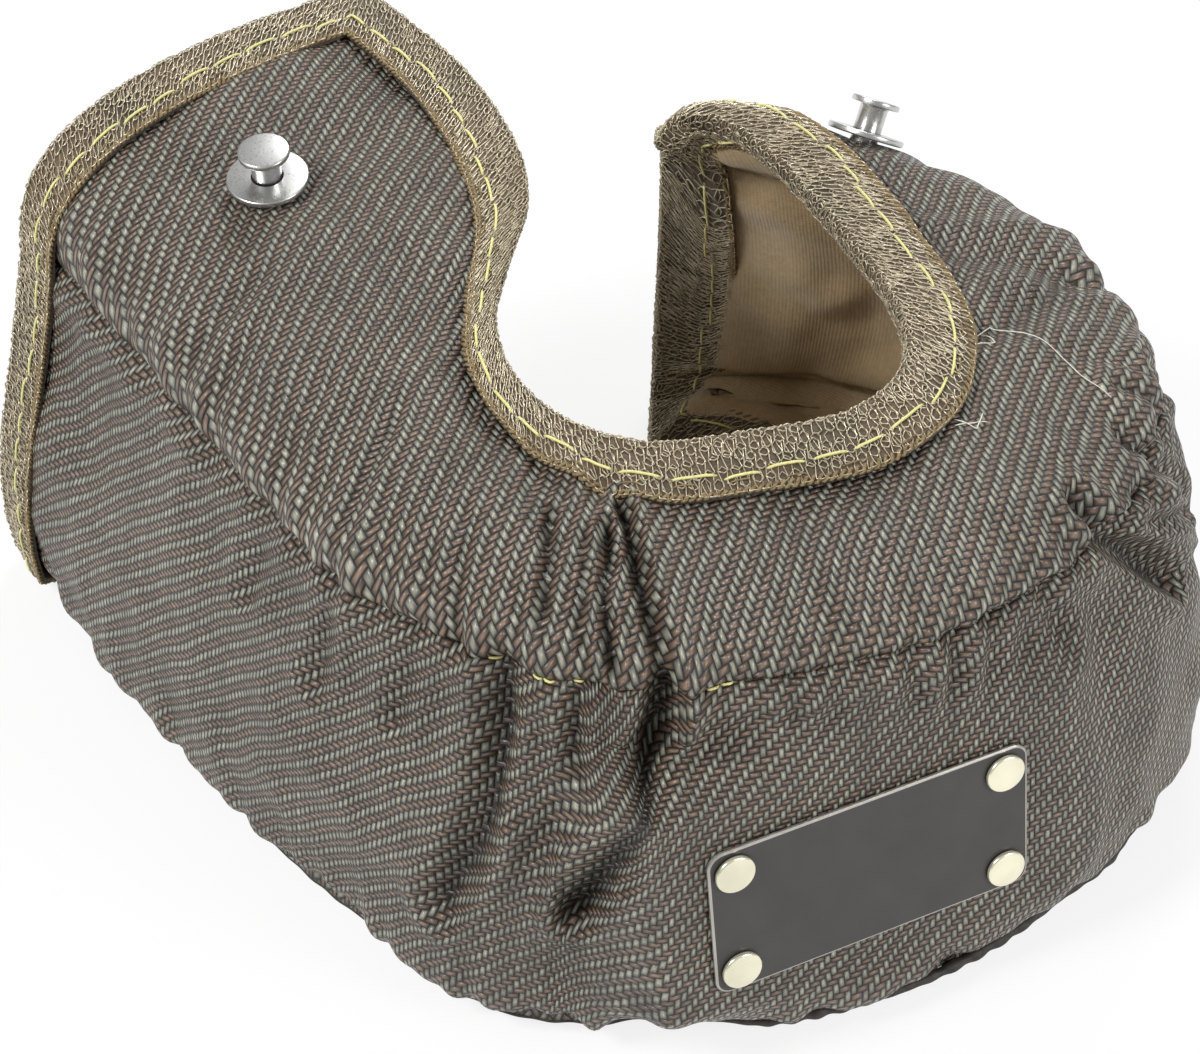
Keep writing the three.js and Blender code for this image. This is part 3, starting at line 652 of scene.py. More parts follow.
def twill_material(name, tow, warp, weft, gap, roughness):
    """A 2/2 twill worked out from the cloth's own millimetre coordinates: each tow floats over two and under
    two, one step on in each row, so the floats make diagonal ribs."""
    graph = Graph(bpy.data.materials.new(name))
    calc = graph.calc
    place, along_warp, along_weft = graph.weave()
    x = calc("ADD", calc("DIVIDE", along_warp, tow), calc("MULTIPLY", graph.noise(0.06, 1.0, place), 2.0))
    y = calc("ADD", calc("DIVIDE", along_weft, tow), calc("MULTIPLY", graph.noise(0.045, 1.0, place), 2.0))
    i = calc("FLOOR", x)
    j = calc("FLOOR", y)
    fx = calc("FRACT", x)
    fy = calc("FRACT", y)
    step = calc("FLOORED_MODULO", calc("SUBTRACT", i, j), 4.0)
    is_warp = calc("LESS_THAN", step, 1.5)
    half = calc("FLOORED_MODULO", step, 2.0)
    weft_run = calc("MULTIPLY", calc("ADD", calc("SUBTRACT", 1.0, half), fy), 0.5)
    warp_run = calc("MULTIPLY", calc("ADD", half, fx), 0.5)
    run = graph.either(is_warp, weft_run, warp_run)
    across = graph.either(is_warp, fx, fy)
    off = calc("ABSOLUTE", calc("SUBTRACT", calc("MULTIPLY", across, 2.0), 1.0))
    round_ = calc("SUBTRACT", 1.0, calc("POWER", off, 2.6))
    arch = calc("POWER", calc("SINE", calc("MULTIPLY", run, math.pi)), 0.7)
    height = calc("MULTIPLY", calc("POWER", round_, 0.7), arch)

    random = graph.node("TexWhiteNoise")
    random.noise_dimensions = "1D"
    graph.feed(random.inputs["W"], graph.either(is_warp, calc("ADD", i, 1000.5), j))
    patch = graph.noise(55, 3.0)
    fibre_place = graph.node("CombineXYZ")
    for k, coordinate, loose, tight in ((0, x, 0.5, 8.0), (1, y, 8.0, 0.5)):
        stretched = graph.either(
            is_warp, calc("MULTIPLY", coordinate, tight), calc("MULTIPLY", coordinate, loose)
        )
        graph.feed(fibre_place.inputs[k], stretched)
    fibre = graph.noise(1.0, 1.0, fibre_place.outputs[0])
    shade = graph.ranged(random.outputs["Value"], 0, 1, 0.72, 1.2)
    shade = calc("MULTIPLY", shade, graph.ranged(patch, 0.3, 0.7, 0.84, 1.14))
    # Painted glint: the fibre noise streaks along each tow brighten and darken its colour; the same noise is
    # also the fine bump.
    shade = calc("MULTIPLY", shade, graph.ranged(fibre, 0.3, 0.7, 0.74, 1.26))
    # Painted shade: the cloth's colour darkens in deep folds, down to 0.3 at the bottom of the deepest.
    dip = graph.node("Attribute")
    dip.attribute_name = "painted_fold_shade"
    shade = calc("MULTIPLY", shade, graph.ranged(dip.outputs["Fac"], 0, 1, 1.0, 0.3))
    grey = graph.node("CombineColor", [(k, shade) for k in range(3)])
    toned = graph.blend(1.0, graph.blend(is_warp, weft, warp), grey.outputs[0], "MULTIPLY")
    # Painted shade: by the tow's height, the colour runs from the dark gap colour in the hollows between tows
    # to the tow's own tone on its crown.
    unshaded_share = calc("POWER", graph.ranged(height, 0.15, 1.0), 0.8)
    fine = graph.bump(fibre, 0.0001, 0.6)
    return graph.surface(
        ("Base Color", graph.blend(unshaded_share, gap, toned)),
        ("Roughness", graph.ranged(height, 0.2, 0.9, roughness + 0.2, roughness)),
        ("Specular IOR Level", 0.75),
        ("Normal", graph.bump(height, 0.0009, 1.0, [fine])),
    )


def cloth_material(name, colour, dark, scale, roughness, sheen=0.2):
    graph = Graph(bpy.data.materials.new(name))
    calc = graph.calc
    _, x, y = graph.weave()
    wave_x = calc("SINE", calc("MULTIPLY", x, 2 * math.pi / scale))
    wave_y = calc("SINE", calc("MULTIPLY", y, 2 * math.pi / (scale * 0.6)))
    height = calc("MULTIPLY", calc("ADD", wave_x, wave_y), 0.25)
    mixed = calc("ADD", calc("MULTIPLY", graph.noise(40, 4.0), 0.7), calc("MULTIPLY", graph.noise(900), 0.3))
    return graph.surface(
        ("Base Color", graph.blend(graph.ranged(mixed, 0.3, 0.7), dark, colour)),
        ("Roughness", roughness),
        ("Sheen Weight", sheen),
        ("Normal", graph.bump(height, 0.00008)),
    )


def thread_material(name, colour, dark, roughness, metallic=0.0, scale=2500):
    graph = Graph(bpy.data.materials.new(name))
    return graph.surface(
        ("Base Color", graph.blend(graph.ranged(graph.noise(scale), 0.3, 0.7), dark, colour)),
        ("Roughness", roughness),
        ("Metallic", metallic),
    )


def metal_material(name, colour, roughness, grain=0.04, metallic=1.0):
    graph = Graph(bpy.data.materials.new(name))
    fine = graph.noise(1800, 3.0)
    tint = tuple(c * 0.82 for c in colour[:3]) + (1.0,)
    return graph.surface(
        ("Base Color", graph.blend(graph.ranged(graph.noise(120), 0.3, 0.7), tint, colour)),
        ("Roughness", graph.ranged(fine, 0.3, 0.7, roughness - grain, roughness + grain)),
        ("Metallic", metallic),
        ("Normal", graph.bump(fine, 0.00001, 0.5)),
    )


WARP = srgb(124, 103, 87)
WEFT = srgb(152, 150, 135)
# Painted shade: a near-black colour for the hollows between the tows.
TWILL_GAP_SHADE = srgb(22, 18, 15)
twill = twill_material("twill", TOW, WARP, WEFT, TWILL_GAP_SHADE, 0.34)
satin = cloth_material("liner_satin", srgb(184, 162, 124), srgb(142, 118, 84), 0.9, 0.5, 0.3)
felt = cloth_material("insulation_felt", srgb(216, 210, 196), srgb(190, 182, 165), 2.0, 0.95)
tape_base = cloth_material("tape_base", srgb(104, 86, 62), srgb(46, 38, 28), 1.4, 0.8)
wire = thread_material("knitted_wire", srgb(224, 214, 190), srgb(166, 152, 124), 0.33, 0.45)
cord = thread_material("selvedge_cord", srgb(150, 130, 92), srgb(95, 78, 50), 0.7)
thread = thread_material("sewing_thread", srgb(228, 226, 158), srgb(204, 198, 128), 0.55)
dark_cord = thread_material("dark_welt", srgb(62, 54, 48), srgb(30, 26, 23), 0.6, scale=700)
hair = thread_material("stray_fibre", srgb(236, 232, 220), srgb(210, 205, 190), 0.5)
steel = metal_material("satin_steel", srgb(214, 214, 212), 0.3)
nickel = metal_material("nickel_cap", srgb(246, 242, 216), 0.24, 0.03, 0.75)
plate_face = metal_material("plate_face", srgb(66, 63, 61), 0.42, 0.05, 0.1)
plate_edge = metal_material("plate_edge", srgb(190, 186, 178), 0.35, 0.05, 0.8)


# Panels
def panel_grid(columns, rows, low, high, u_low=0.0, u_high=LAST):
    u, v = np.meshgrid(np.linspace(u_low, u_high, columns), np.linspace(low, high, rows), indexing="ij")
    return u.ravel(), v.ravel(), (columns, rows)


def plan_uv(points, angle):
    c, s = math.cos(angle), math.sin(angle)
    return np.column_stack([points[:, 0] * c + points[:, 1] * s, points[:, 1] * c - points[:, 0] * s])


def run_uv(points, shape):
    """Cloth coordinates by true lengths: along the middle of the strip, and down each column."""
    grid = points.reshape(*shape, 3)
    middle = grid[:, shape[1] // 2]
    s = np.r_[0, np.cumsum(lengths(np.diff(middle, axis=0)))]
    down = lengths(np.diff(grid, axis=1))
    t = -np.concatenate([np.zeros((shape[0], 1)), np.cumsum(down, axis=1)], axis=1)
    t = t - t[:, shape[1] // 2][:, None]
    return np.dstack([np.broadcast_to(s[:, None], shape), t]).reshape(-1, 2)


TOP_WEAVE_TURN = math.radians(27)


def cover(part, columns, rows, low):
    u, v, shape = panel_grid(columns, rows, low, low + 1)
    front, out, _ = outer_surface(u, v)
    smooth_points = plain(u, v)[0]
    uv = run_uv(smooth_points, shape) if low == 1 else plan_uv(smooth_points, TOP_WEAVE_TURN)
    obj = shell(f"cover_{part}", shape, front, front - out * FABRIC, uv, twill)
    # Painted shade: a share for each point that darkens the cover's colour in the sharp folds, by their depth.
    shade = obj.data.attributes.new("painted_fold_shade", "FLOAT", "POINT")
    dip = np.clip(-sharp_folds(u, v) / PAINTED_SHADE_DEPTH, 0, 1) ** 1.3
    shade.data.foreach_set("value", np.concatenate([dip, dip]))
    settle(obj, f"outer_{part}")


for low, size in enumerate((("top", 430, 84), ("side", 430, 96), ("bottom", 300, 40))):
    cover(*size, low)


def lining(part, columns, rows, low):
    u, v, shape = panel_grid(columns, rows, low, low + 1)
    point = plain(u, v)[0]
    out = offset_direction(u, v)
    fold = inner_fold(u, v)
    depth = laminate_depth(u, v)
    loose = smooth(edge_distance(u, v) / HEM - LOOSE_FROM)
    sag = np.maximum(LINER_SAG - lumps(point, RUMPLES), 0) * loose
    inner = point + out * (fold - depth - sag)[:, None]
    outer = point + out * (fold - depth + LINER)[:, None]
    obj = shell(f"lining_{part}", shape, outer, inner, run_uv(point, shape), satin)
    settle(obj, f"liner_{part}")


for low, size in enumerate((("top", 160, 28), ("side", 200, 50), ("bottom", 160, 24))):
    lining(*size, low)


def batt(part, columns, rows, low):
    """The insulation between cover and liner. It stops half a hem short of the bound edge."""
    u_low = HEM / 2 / PITCHES[0]
    u_high = LAST - HEM / 2 / PITCHES[-1]
    u, t, shape = panel_grid(columns, rows, 0, 1, u_low, u_high)
    start = top_share(u, HEM / 2) if part == "top" else 0
    end = 1 - under_share(u, HEM / 2) if part == "bottom" else 1
    v = low + start + t * (end - start)
    front, out, height = outer_surface(u, v)
    inner = inner_fold(u, v) - laminate_depth(u, v) + LINER + GAP
    face = np.maximum(height - FABRIC - GAP, inner + THINNEST_BATT)
    base = front - out * height[:, None]
    outer, inner = (base + out * depth[:, None] for depth in (face, inner))
    obj = shell(f"batt_{part}", shape, outer, inner, run_uv(base, shape), felt)
    settle(obj, f"insulation_{part}")


for low, size in enumerate((("top", 220, 36), ("side", 220, 46), ("bottom", 150, 24))):
    batt(*size, low)


# Edge tape
SIDE_SAMPLES = (150, 330, 130, 330)  # mouth, throat edge on top, right end and lower throat edge


def ring(w):
    """Sections and heights of the closed walk that lies w millimetres in from the bound edge."""
    walk = np.concatenate([side + np.arange(count) / count for side, count in enumerate(SIDE_SAMPLES)])
    onward = np.interp(walk, range(5), (0, 0, 1, 1, 0))
    upward = np.interp(walk, range(5), (0, 1, 1, 0, 0))
    u_low = w / PITCHES[0]
    u = u_low + (LAST - w / PITCHES[-1] - u_low) * onward
    lower = 3 - under_share(u, w)
    return u, lower + (top_share(u, w) - lower) * upward


RING_STEPS = (0.0, 3.2, 6.35, 9.5, 12.7)
RINGS = {}
for step in RING_STEPS:
    ru, rv = ring(step)
    rp, rout, _ = outer_surface(ru, rv, detail=False)
    RINGS[step] = (rp, rout, laminate_depth(ru, rv))
EDGE_OUT = unit(RINGS[0.0][0] - RINGS[3.2][0])


def tape_point(w, d_share, lift):
    """A line of the tape: w in from the edge (below 0 is past it), d_share from the outer face (0) to the
    liner's face (1), and lift out from that face."""
    w_in = min(max(w, 0.0), RING_STEPS[-1])
    k = max(i for i, step in enumerate(RING_STEPS) if step <= w_in)
    k = min(k, len(RING_STEPS) - 2)
    t = (w_in - RING_STEPS[k]) / (RING_STEPS[k + 1] - RING_STEPS[k])
    a, b = RINGS[RING_STEPS[k]], RINGS[RING_STEPS[k + 1]]
    point, out, depth = (a[i] * (1 - t) + b[i] * t for i in range(3))
    away = out * (-depth * d_share + lift * (1 - 2 * d_share))[:, None]
    return point + away + EDGE_OUT * max(-w, 0.0)


def tape_profile(face):
    """The tape's cross line from the outer selvedge over the fold to the inner selvedge."""
    def leg(w, side):
        fullness = 0.75 + 0.25 * math.sin(math.pi * min(1, (HEM - w + 2) / HEM))
        lines.append(tape_point(w, side, face * fullness))
    lines = []
    for w in np.linspace(HEM, 0.0, 10):
        leg(w, 0.0)
    for angle in np.linspace(0.15, 0.85, 7) * math.pi:
        reach = FOLD_REACH * math.sin(angle)
        share = 0.5 - 0.5 * math.cos(angle)
        lines.append(tape_point(-reach, share, face))
    for w in np.linspace(0.0, HEM, 10):
        leg(w, 1.0)
    return np.stack(lines, axis=1)


TAPE_FACE = GAP + TAPE
tape_outer = tape_profile(TAPE_FACE)
tape_inner = tape_profile(GAP)


LINE_PITCH = 1.2  # between the lines of the tape's section


def closed_band(name, outer, inner, material):
    """The tape's own solid, a ring whose section runs out along one line grid and back along the other."""
    n, m = outer.shape[:2]
    k = 2 * m
    points = np.concatenate([outer, inner[:, ::-1]], axis=1).reshape(-1, 3)
    length = np.r_[0, np.cumsum(lengths(np.diff(outer[:, m // 2], axis=0)))]
    width = np.arange(k) * LINE_PITCH
    uv = np.dstack([np.broadcast_to(length[:, None], (n, k)), np.broadcast_to(width, (n, k))]).reshape(-1, 2)
    return mesh_from(name, points, ring_faces(n, k, True), material, uv)


band = closed_band("edge_tape", tape_outer, tape_inner, tape_base)
settle(band, "edge_binding")


class Band:
    """Places and normals on the tape's face, by length along it and share across it."""

    def __init__(self, grid):
        self.grid = grid
        middle = grid[:, grid.shape[1] // 3]
        steps = lengths(np.roll(middle, -1, 0) - middle)
        self.length = steps.sum()
        self.marks = np.r_[0, np.cumsum(steps)]
        du = np.roll(grid, -1, 0) - np.roll(grid, 1, 0)
        dv = np.gradient(grid, axis=1)
        normal = np.cross(dv, du)
        self.normal = normal / np.maximum(lengths(normal), 1e-9)[..., None]
        flip = ((self.normal[:, 4] * RINGS[9.5][1]).sum(1) < 0).mean() > 0.5
        if flip:
            self.normal = -self.normal

    def at(self, s, across):
        n, m = self.grid.shape[:2]
        k = np.interp(np.mod(s, self.length), self.marks, np.arange(n + 1))
        i = np.floor(k).astype(int)
        t = (k - i)[:, None]
        i %= n
        x = np.clip(across, 0, 1) * (m - 1)
        j = np.minimum(np.floor(x).astype(int), m - 2)
        f = (x - j)[:, None]
        i2 = (i + 1) % n
        def blend(a):
            return (a[i, j] * (1 - f) + a[i, j + 1] * f) * (1 - t) + (a[i2, j] * (1 - f) + a[i2, j + 1] * f) * t
        point, normal = blend(self.grid), blend(self.normal)
        return point, unit(normal)


tape_band = Band(tape_outer)
TAPE_ACROSS = 28  # from selvedge to selvedge over the fold
LOOP_PITCH = 2.3
LOOP_SWING = 0.56
LOOP_REACH = 0.92  # in rows
LOOP_WOBBLE = 0.3
WIRE_RADIUS = 0.17
KNIT_ROWS = 14
LOOP_POINTS = 8


def knit(name, first, last):
    """Knitted wire over the tape: each row is one closed wire whose loops hook into the next row."""
    loops = int(round(tape_band.length / LOOP_PITCH))
    t = np.arange(loops * LOOP_POINTS) / LOOP_POINTS
    paths = []
    for row in range(first, last):
        centre = (row + 0.5) / KNIT_ROWS
        turn = 2 * np.pi * t
        uneven = waves(t, ((5.3, row, 0.5), (3.1, 2.3 * row, 0.5), (17.0, 1.7 * row, 0.6)))
        wobble = LOOP_WOBBLE * uneven
        s = (t + 0.5 * (row % 2)) * tape_band.length / loops + LOOP_SWING * np.sin(2 * turn) + wobble
        reach = LOOP_REACH + 0.14 * np.sin(turn * 0.31 + row)
        across = centre + (np.cos(turn) * reach + wobble) / KNIT_ROWS
        point, normal = tape_band.at(s, across)
        lift = 0.2 + 0.18 * np.cos(2 * turn) + 0.1 * uneven
        paths.append((point + normal * lift[:, None], normal))
    obj = tubes_mesh(name, paths, WIRE_RADIUS, 3, wire, closed=True)
    settle(obj)


knit("knit_outer", 0, 6)
knit("knit_fold", 6, 9)
knit("knit_inner", 9, KNIT_ROWS)


STRAND_STEP = 0.42
STRAND_RADIUS = 0.36
TWIST_PITCH = 2.6


def selvedge(name, across):
    """Two strands twisted round each other along the tape's selvedge."""
    n = int(tape_band.length / STRAND_STEP)
    s = np.arange(n) * tape_band.length / n
    turns = round(tape_band.length / TWIST_PITCH)
    paths = []
    for phase in (0.0, math.pi):
        point, normal = tape_band.at(s, np.full(n, across))
        side = np.roll(point, -1, 0) - np.roll(point, 1, 0)
        side = np.cross(unit(side), normal)
        angle = s / tape_band.length * turns * 2 * np.pi + phase
        loose = (0.62 + 0.18 * np.sin(s / 7.3) + 0.12 * np.sin(s / 2.9))[:, None]
        swing = np.cos(angle)[:, None] * side * loose + (np.sin(angle)[:, None] * 0.3 - 0.1) * normal
        paths.append((point + swing, normal))
    obj = tubes_mesh(name, paths, STRAND_RADIUS, 5, cord, closed=True)
    settle(obj)


selvedge("selvedge_outer", 0.012)
selvedge("selvedge_inner", 0.988)

STITCH_LIFT = 0.5
STITCH_DIP = 0.75


def stitches(name, across, long, gap, radius, wobble, material):
    """A line of lock stitches along the tape, each a short thread that dips at its ends."""
    paths = []
    s = 0.0
    count = 0
    while s + long < tape_band.length:
        size = long * (1 + 0.22 * math.sin(count * 1.7) * math.cos(count * 0.6))
        t = np.linspace(0, 1, 9)
        drift = wobble * math.sin(count * 0.9) + wobble * 0.5 * math.sin(count * 2.3)
        line = across + (drift + 0.3 * wobble * (t - 0.5)) / TAPE_ACROSS
        point, normal = tape_band.at(s + t * size, line)
        height = STITCH_LIFT - STITCH_DIP * (2 * np.abs(t - 0.5)) ** 4
        paths.append((point + normal * height[:, None], normal))
        s += size + gap
        count += 1
    obj = tubes_mesh(name, paths, radius, 6, material)
    settle(obj)


stitches("stitches_outer", 0.125, 7.2, 1.1, 0.28, 0.6, thread)
stitches("stitches_selvedge", 0.06, 4.4, 5.6, 0.15, 0.35, cord)
stitches("stitches_inner", 0.875, 7.2, 1.1, 0.28, 0.6, thread)


# Seams
def surface_line(u, v, lift):
    """A line on the cover, lifted off it, and its normals."""
    point, out, _ = outer_surface(u, v)
    out = unit(out)
    return point + out * lift[:, None], out


def foot_welt():
    """The dark rolled seam along the foot, a twisted edge that thickens and thins."""
    u = np.linspace(0.55, LAST - 0.5, 900)
    s = u * SECTION_PITCH
    def between(low, high):
        return smooth((u - low) / 0.5) * smooth((high - u) / 0.5)
    shown = between(8.4, 11.9) + 0.45 * between(0.8, 3.6)
    path, out = surface_line(u, 2.035 - 0.03 * shown, 0.2 + 0.2 * shown)
    uneven = 0.25 * np.sin(s * 2 * np.pi / 4.1) * np.sin(s / 9) + 0.15 * np.sin(s / 5.3)
    radius = 0.55 + (0.55 + uneven) * shown
    path[:, 2] = np.maximum(path[:, 2], radius + 0.1)
    obj = tubes_mesh("foot_welt", [(path, out)], 1.0, 8, dark_cord)
    mesh = obj.data
    co = np.empty(len(mesh.vertices) * 3)
    mesh.vertices.foreach_get("co", co)
    co = co.reshape(-1, 8, 3)
    centre = to_frame(path)[:, None]
    co = centre + (co - centre) * radius[:, None, None]
    mesh.vertices.foreach_set("co", co.ravel())
    mesh.update()
    settle(obj)


foot_welt()


def seam_thread():
    """Bits of thread that show in the top seam."""
    paths = []
    for u in (6.1, 6.6, 6.72, 7.0, 8.3, 8.42):
        t = np.linspace(-0.5, 0.5, 7)
        point, out = surface_line(u + t * 0.11, 1 + t * 0.004, 0.55 - 1.2 * (2 * np.abs(t)) ** 3)
        paths.append((point, out))
    obj = tubes_mesh("seam_thread", paths, 0.25, 6, thread)
    settle(obj)


seam_thread()


def stray_fibres():
    """A long loose fibre on the right shoulder and a little fuzz beside the tape."""
    paths = []
    lines = (
        (((12.18, 0.16), (12.84, 0.29), (12.85, 0.4), (12.75, 0.5), (12.62, 0.6), (12.56, 0.72)), 0.5),
        (((11.05, 0.29), (11.23, 0.33), (11.38, 0.37)), 0.4),
        (((11.1, 0.27), (11.2, 0.36), (11.42, 0.34)), 0.6),
        (((12.2, 0.2), (12.5, 0.3), (12.7, 0.27)), 0.5),
    )
    for line, rise in lines:
        t = np.linspace(0, 1, 40)
        marks = np.linspace(0, 1, len(line))
        u = np.interp(t, marks, [q[0] for q in line])
        v = np.interp(t, marks, [q[1] for q in line])
        paths.append(surface_line(u, v, rise + rise * np.sin(t * np.pi) * (1 + 0.4 * np.sin(t * 9))))
    obj = tubes_mesh("stray_fibres", paths, 0.11, 5, hair)
    settle(obj)


stray_fibres()


# Fittings
def lathe(name, profile, place, axis, material, node, segments=64):
    """A turned piece from (radius, height) points round an axis."""
    axis = unit(axis)
    first = unit(np.cross(axis, (0, 0, 1) if abs(axis[2]) < 0.9 else (1, 0, 0)))
    second = np.cross(axis, first)
    angle = np.arange(segments) * 2 * np.pi / segments
    around = np.cos(angle)[:, None] * first + np.sin(angle)[:, None] * second
    closed = profile[0][0] > 0
    points = []
    faces = []
    rows = []
    for r, h in profile:
        if r == 0:
            rows.append([len(points)] * segments)
            points.append(place + axis * h)
        else:
            rows.append(list(range(len(points), len(points) + segments)))
            points.extend(place + axis * h + around * r)
    pairs = list(zip(rows, rows[1:] + rows[:1])) if closed else list(zip(rows, rows[1:]))
    for a, b in pairs:
        for k in range(segments):
            k2 = (k + 1) % segments
            faces.append(list(dict.fromkeys([a[k], a[k2], b[k2], b[k]])))
    mesh = new_mesh(name, points, faces)
    obj = link(mesh, name, material)
    mesh.set_sharp_from_angle(angle=math.radians(35))
    settle(obj, node)


def lower_corner(r, height, bevel, count):
    """Profile points of an eased outer edge, outward and up."""
    turns = np.linspace(0, math.pi / 2, count)
    return [(r - bevel + bevel * math.sin(a), height + bevel - bevel * math.cos(a)) for a in turns]


def upper_corner(r, height, bevel, count):
    """The same at the top, up and inward."""
    return [(x, 2 * height - y) for x, y in reversed(lower_corner(r, height, bevel, count))]


def rounded(r_in, r_out, low, high, bevel):
    """Profile of a flat ring with eased outer edges."""
    foot, arc = lower_corner(r_out, low, bevel, 5), upper_corner(r_out, high, bevel, 5)
    return [(r_in, low), *foot, *arc, (r_in, high)]


WASHER_RADIUS = 8
WASHER = 1.2
POST_RADIUS = 2.9
POST_HEIGHT = 5.4
POST_TAIL = 0.8
HEAD_RADIUS = 5
HEAD = 1.2
BACK_WASHER_RADIUS = 7
BACK_WASHER = 1.0
for side, (section, across, sag) in ANCHORS.items():
    u0, v0 = np.array([[section], [across]])
    place = plain(u0, v0)[0][0]
    axis = offset_direction(u0, v0)[0]
    top = GAP + WASHER
    neck = top + POST_HEIGHT
    back = -(FABRIC + INSULATION + LINER + 2 * GAP) - GAP - sag
    lathe(f"{side}_washer", rounded(POST_RADIUS + GAP, WASHER_RADIUS, GAP, top, 0.3), place, axis, steel,
          f"{side}_anchor_washer")
    lathe(f"{side}_back_washer", rounded(POST_RADIUS + GAP, BACK_WASHER_RADIUS, back - BACK_WASHER, back, 0.25),
          place, axis, steel, f"{side}_anchor_back_washer")
    tail = back - BACK_WASHER - GAP
    head = upper_corner(HEAD_RADIUS, neck + HEAD, 0.35, 6)
    rim = lower_corner(HEAD_RADIUS, neck, 0.2, 4)
    end = tail - POST_TAIL
    post = [(0, end), (POST_RADIUS + 0.8, end), (POST_RADIUS + 1, end + 0.2),
            (POST_RADIUS + 1, tail), (POST_RADIUS, tail), (POST_RADIUS, neck - 0.5),
            (POST_RADIUS + 0.15, neck - 0.2), (POST_RADIUS + 0.5, neck), *rim, *head, (0, neck + HEAD)]
    lathe(f"{side}_post", post, place, axis, steel, f"{side}_anchor_post")


def plate():
    """Bare plate with round corners: a dark face inside a thin bright edge."""
    bevel = 0.25
    rim = 0.45
    seat = PLATE_CENTRE + PLATE_OUT * GAP
    def outline(shrink):
        pts = []
        for sx, sy, quarter in ((1, -1, -1), (1, 1, 0), (-1, 1, 1), (-1, -1, 2)):
            cx = sx * (PLATE_LENGTH / 2 - PLATE_CORNER)
            cy = sy * (PLATE_HEIGHT / 2 - PLATE_CORNER)
            for a in np.linspace(0, math.pi / 2, 9) + quarter * math.pi / 2:
                r = PLATE_CORNER - shrink
                pts.append((cx + r * math.cos(a), cy + r * math.sin(a)))
        return np.array(pts)
    layers = [(0.1, 0.0), (0.0, 0.1), (0.0, PLATE_THICKNESS - bevel), (bevel, PLATE_THICKNESS),
              (rim, PLATE_THICKNESS)]
    points = []
    for shrink, h in layers:
        line = outline(shrink)
        points.append(seat + line[:, :1] * PLATE_ALONG + line[:, 1:] * PLATE_UP + h * PLATE_OUT)
    n = len(points[0])
    faces = [list(range(n))[::-1]]
    for k in range(len(layers) - 1):
        for i in range(n):
            j = (i + 1) % n
            faces.append([k * n + i, k * n + j, (k + 1) * n + j, (k + 1) * n + i])
    faces.append([(len(layers) - 1) * n + i for i in range(n)])
    mesh = new_mesh("bare_plate", np.vstack(points), faces)
    obj = link(mesh, "bare_plate", plate_edge)
    mesh.materials.append(plate_face)
    mesh.polygons[-1].material_index = 1
    mesh.polygons[-1].use_smooth = False
    mesh.set_sharp_from_angle(angle=math.radians(30))
    settle(obj, "front_plate")


plate()
RIVET_CAP_RADIUS = 3.9
RIVET_CAP = 0.9
RIVET_CROWN = 0.12
RIVET_SHANK = 1.4
RIVET_TAIL, TAIL_HEIGHT = 2.6, 0.8
corner_signs = ((1, -1), (1, 1), (-1, 1), (-1, -1))
for number, (sx, sy) in enumerate(corner_signs, 1):
    place = (PLATE_CENTRE + PLATE_OUT * GAP + PLATE_ALONG * sx * (PLATE_LENGTH / 2 - RIVET_INSET)
             + PLATE_UP * sy * (PLATE_HEIGHT / 2 - RIVET_INSET))
    under = PLATE_THICKNESS + GAP
    tail = -2 * GAP - FABRIC
    cap = upper_corner(RIVET_CAP_RADIUS, under + RIVET_CAP, 0.45, 7)
    crown = [(r, under + RIVET_CAP + RIVET_CROWN * (1 - (r / RIVET_CAP_RADIUS) ** 2)) for r in (2.4, 1.2)]
    end = tail - TAIL_HEIGHT
    profile = [(0, end), (RIVET_TAIL, end), (RIVET_TAIL, tail), (RIVET_SHANK, tail),
               (RIVET_SHANK, under), (RIVET_CAP_RADIUS - 0.1, under), (RIVET_CAP_RADIUS, under + 0.1),
               *cap, *crown, (0, under + RIVET_CAP + RIVET_CROWN)]
    lathe(f"rivet_cap_{number}", profile, place, PLATE_OUT, nickel, f"plate_rivet_{number}", 48)


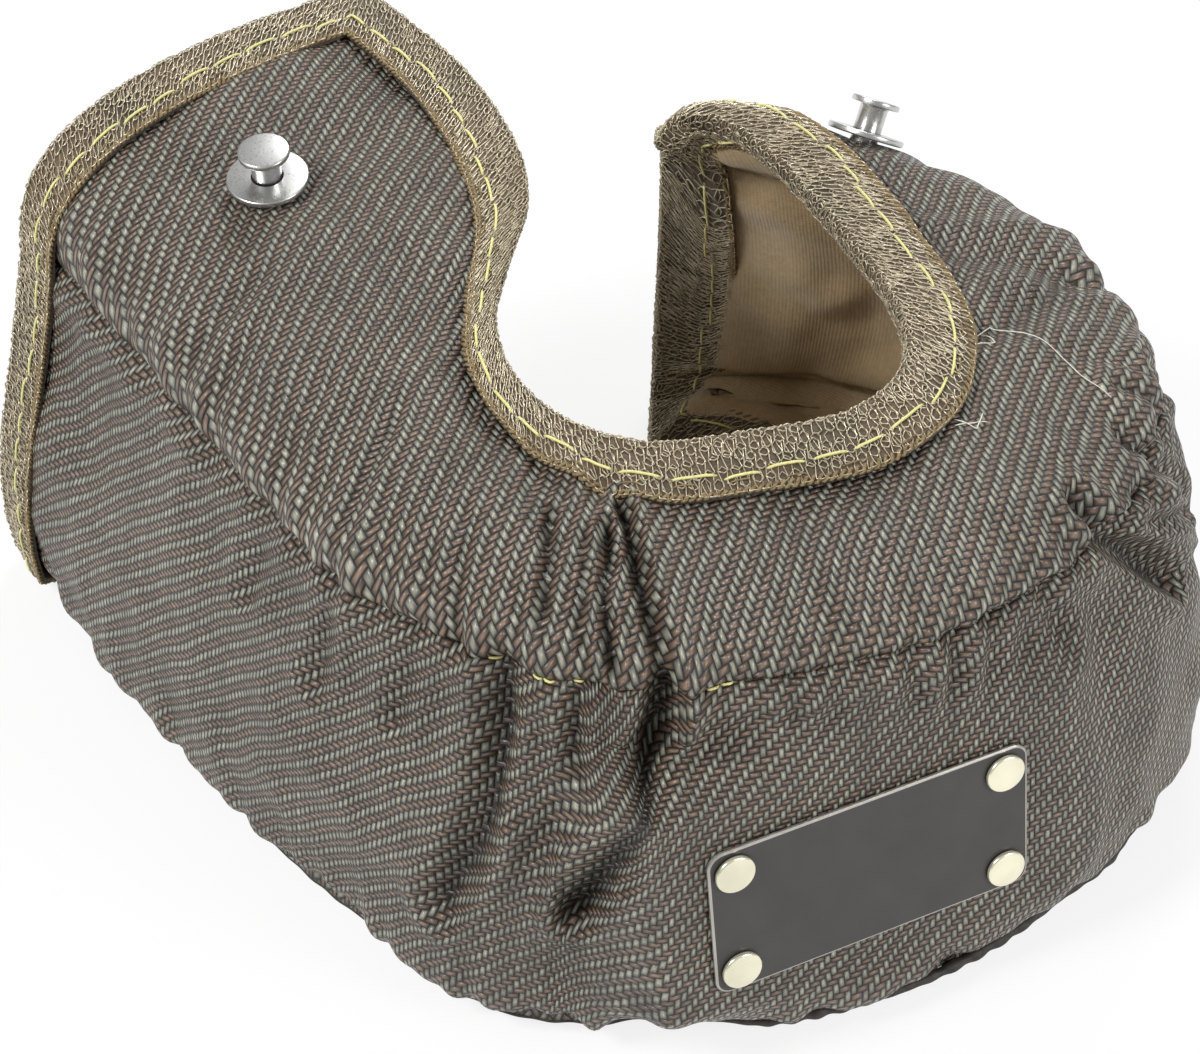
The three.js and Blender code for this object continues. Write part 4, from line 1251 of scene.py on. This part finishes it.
# Floor, light and camera
def studio():
    floor_material = bpy.data.materials.new("floor")
    graph = Graph(floor_material)
    graph.nodes.remove(graph.nodes["Principled BSDF"])
    white = graph.node("BsdfDiffuse", (("Color", (0.88, 0.88, 0.88, 1)),))
    glow = graph.node("Emission", (("Color", (1, 1, 1, 1)),))
    path = graph.node("LightPath").outputs
    seen = graph.calc("MAXIMUM", path["Is Camera Ray"], path["Is Glossy Ray"])
    seen = graph.calc("MAXIMUM", seen, path["Is Transmission Ray"])
    share = graph.calc("MULTIPLY", seen, 0.82)
    mix = graph.node("MixShader", ((0, share), (1, white.outputs[0]), (2, glow.outputs[0])))
    graph.feed(graph.nodes["Material Output"].inputs["Surface"], mix.outputs[0])
    bpy.ops.mesh.primitive_plane_add(size=6, location=(0, 0, 0))
    floor = bpy.context.object
    floor.name = "floor"
    floor.data.materials.append(floor_material)

    world = bpy.data.worlds.new("studio")
    bpy.context.scene.world = world
    graph = Graph(world)
    path = graph.node("LightPath").outputs
    seen = graph.calc("MAXIMUM", path["Is Camera Ray"], path["Is Transmission Ray"])
    background = graph.nodes["Background"].inputs
    graph.feed(background["Color"], (1, 1, 1, 1))
    graph.feed(background["Strength"], graph.ranged(seen, 0, 1, 0.4, 1.0))

    def lamp(name, place, size, power):
        light = bpy.data.lights.new(name, "AREA")
        light.shape = "DISK"
        light.size = size
        light.energy = power
        obj = bpy.data.objects.new(name, light)
        bpy.context.scene.collection.objects.link(obj)
        obj.location = place
        aim = Vector((0, 0, 0.05)) - Vector(place)
        obj.rotation_euler = aim.to_track_quat("-Z", "Y").to_euler()

    lamp("key", (-0.7, -0.35, 0.9), 0.35, 10.0)
    lamp("fill", (0.9, -0.5, 0.6), 0.5, 6.0)
    lamp("back", (0.15, 0.9, 0.8), 0.5, 7.0)


studio()
CAMERA_ELEVATION = math.radians(45)
CAMERA_DISTANCE = 600
CAMERA_TARGET = np.array([0, 0, 45])
camera = bpy.data.cameras.new("camera")
camera.sensor_width = 36
camera.lens = 90
camera.clip_start = 0.01
eye = bpy.data.objects.new("camera", camera)
bpy.context.scene.collection.objects.link(eye)
back_way = np.array([0, -math.cos(CAMERA_ELEVATION), math.sin(CAMERA_ELEVATION)])
eye.location = to_frame(CAMERA_TARGET + back_way * CAMERA_DISTANCE)
eye.rotation_euler = (math.pi / 2 - CAMERA_ELEVATION, 0, 0)
bpy.context.scene.camera = eye

bpy.context.scene.view_settings.view_transform = "Standard"
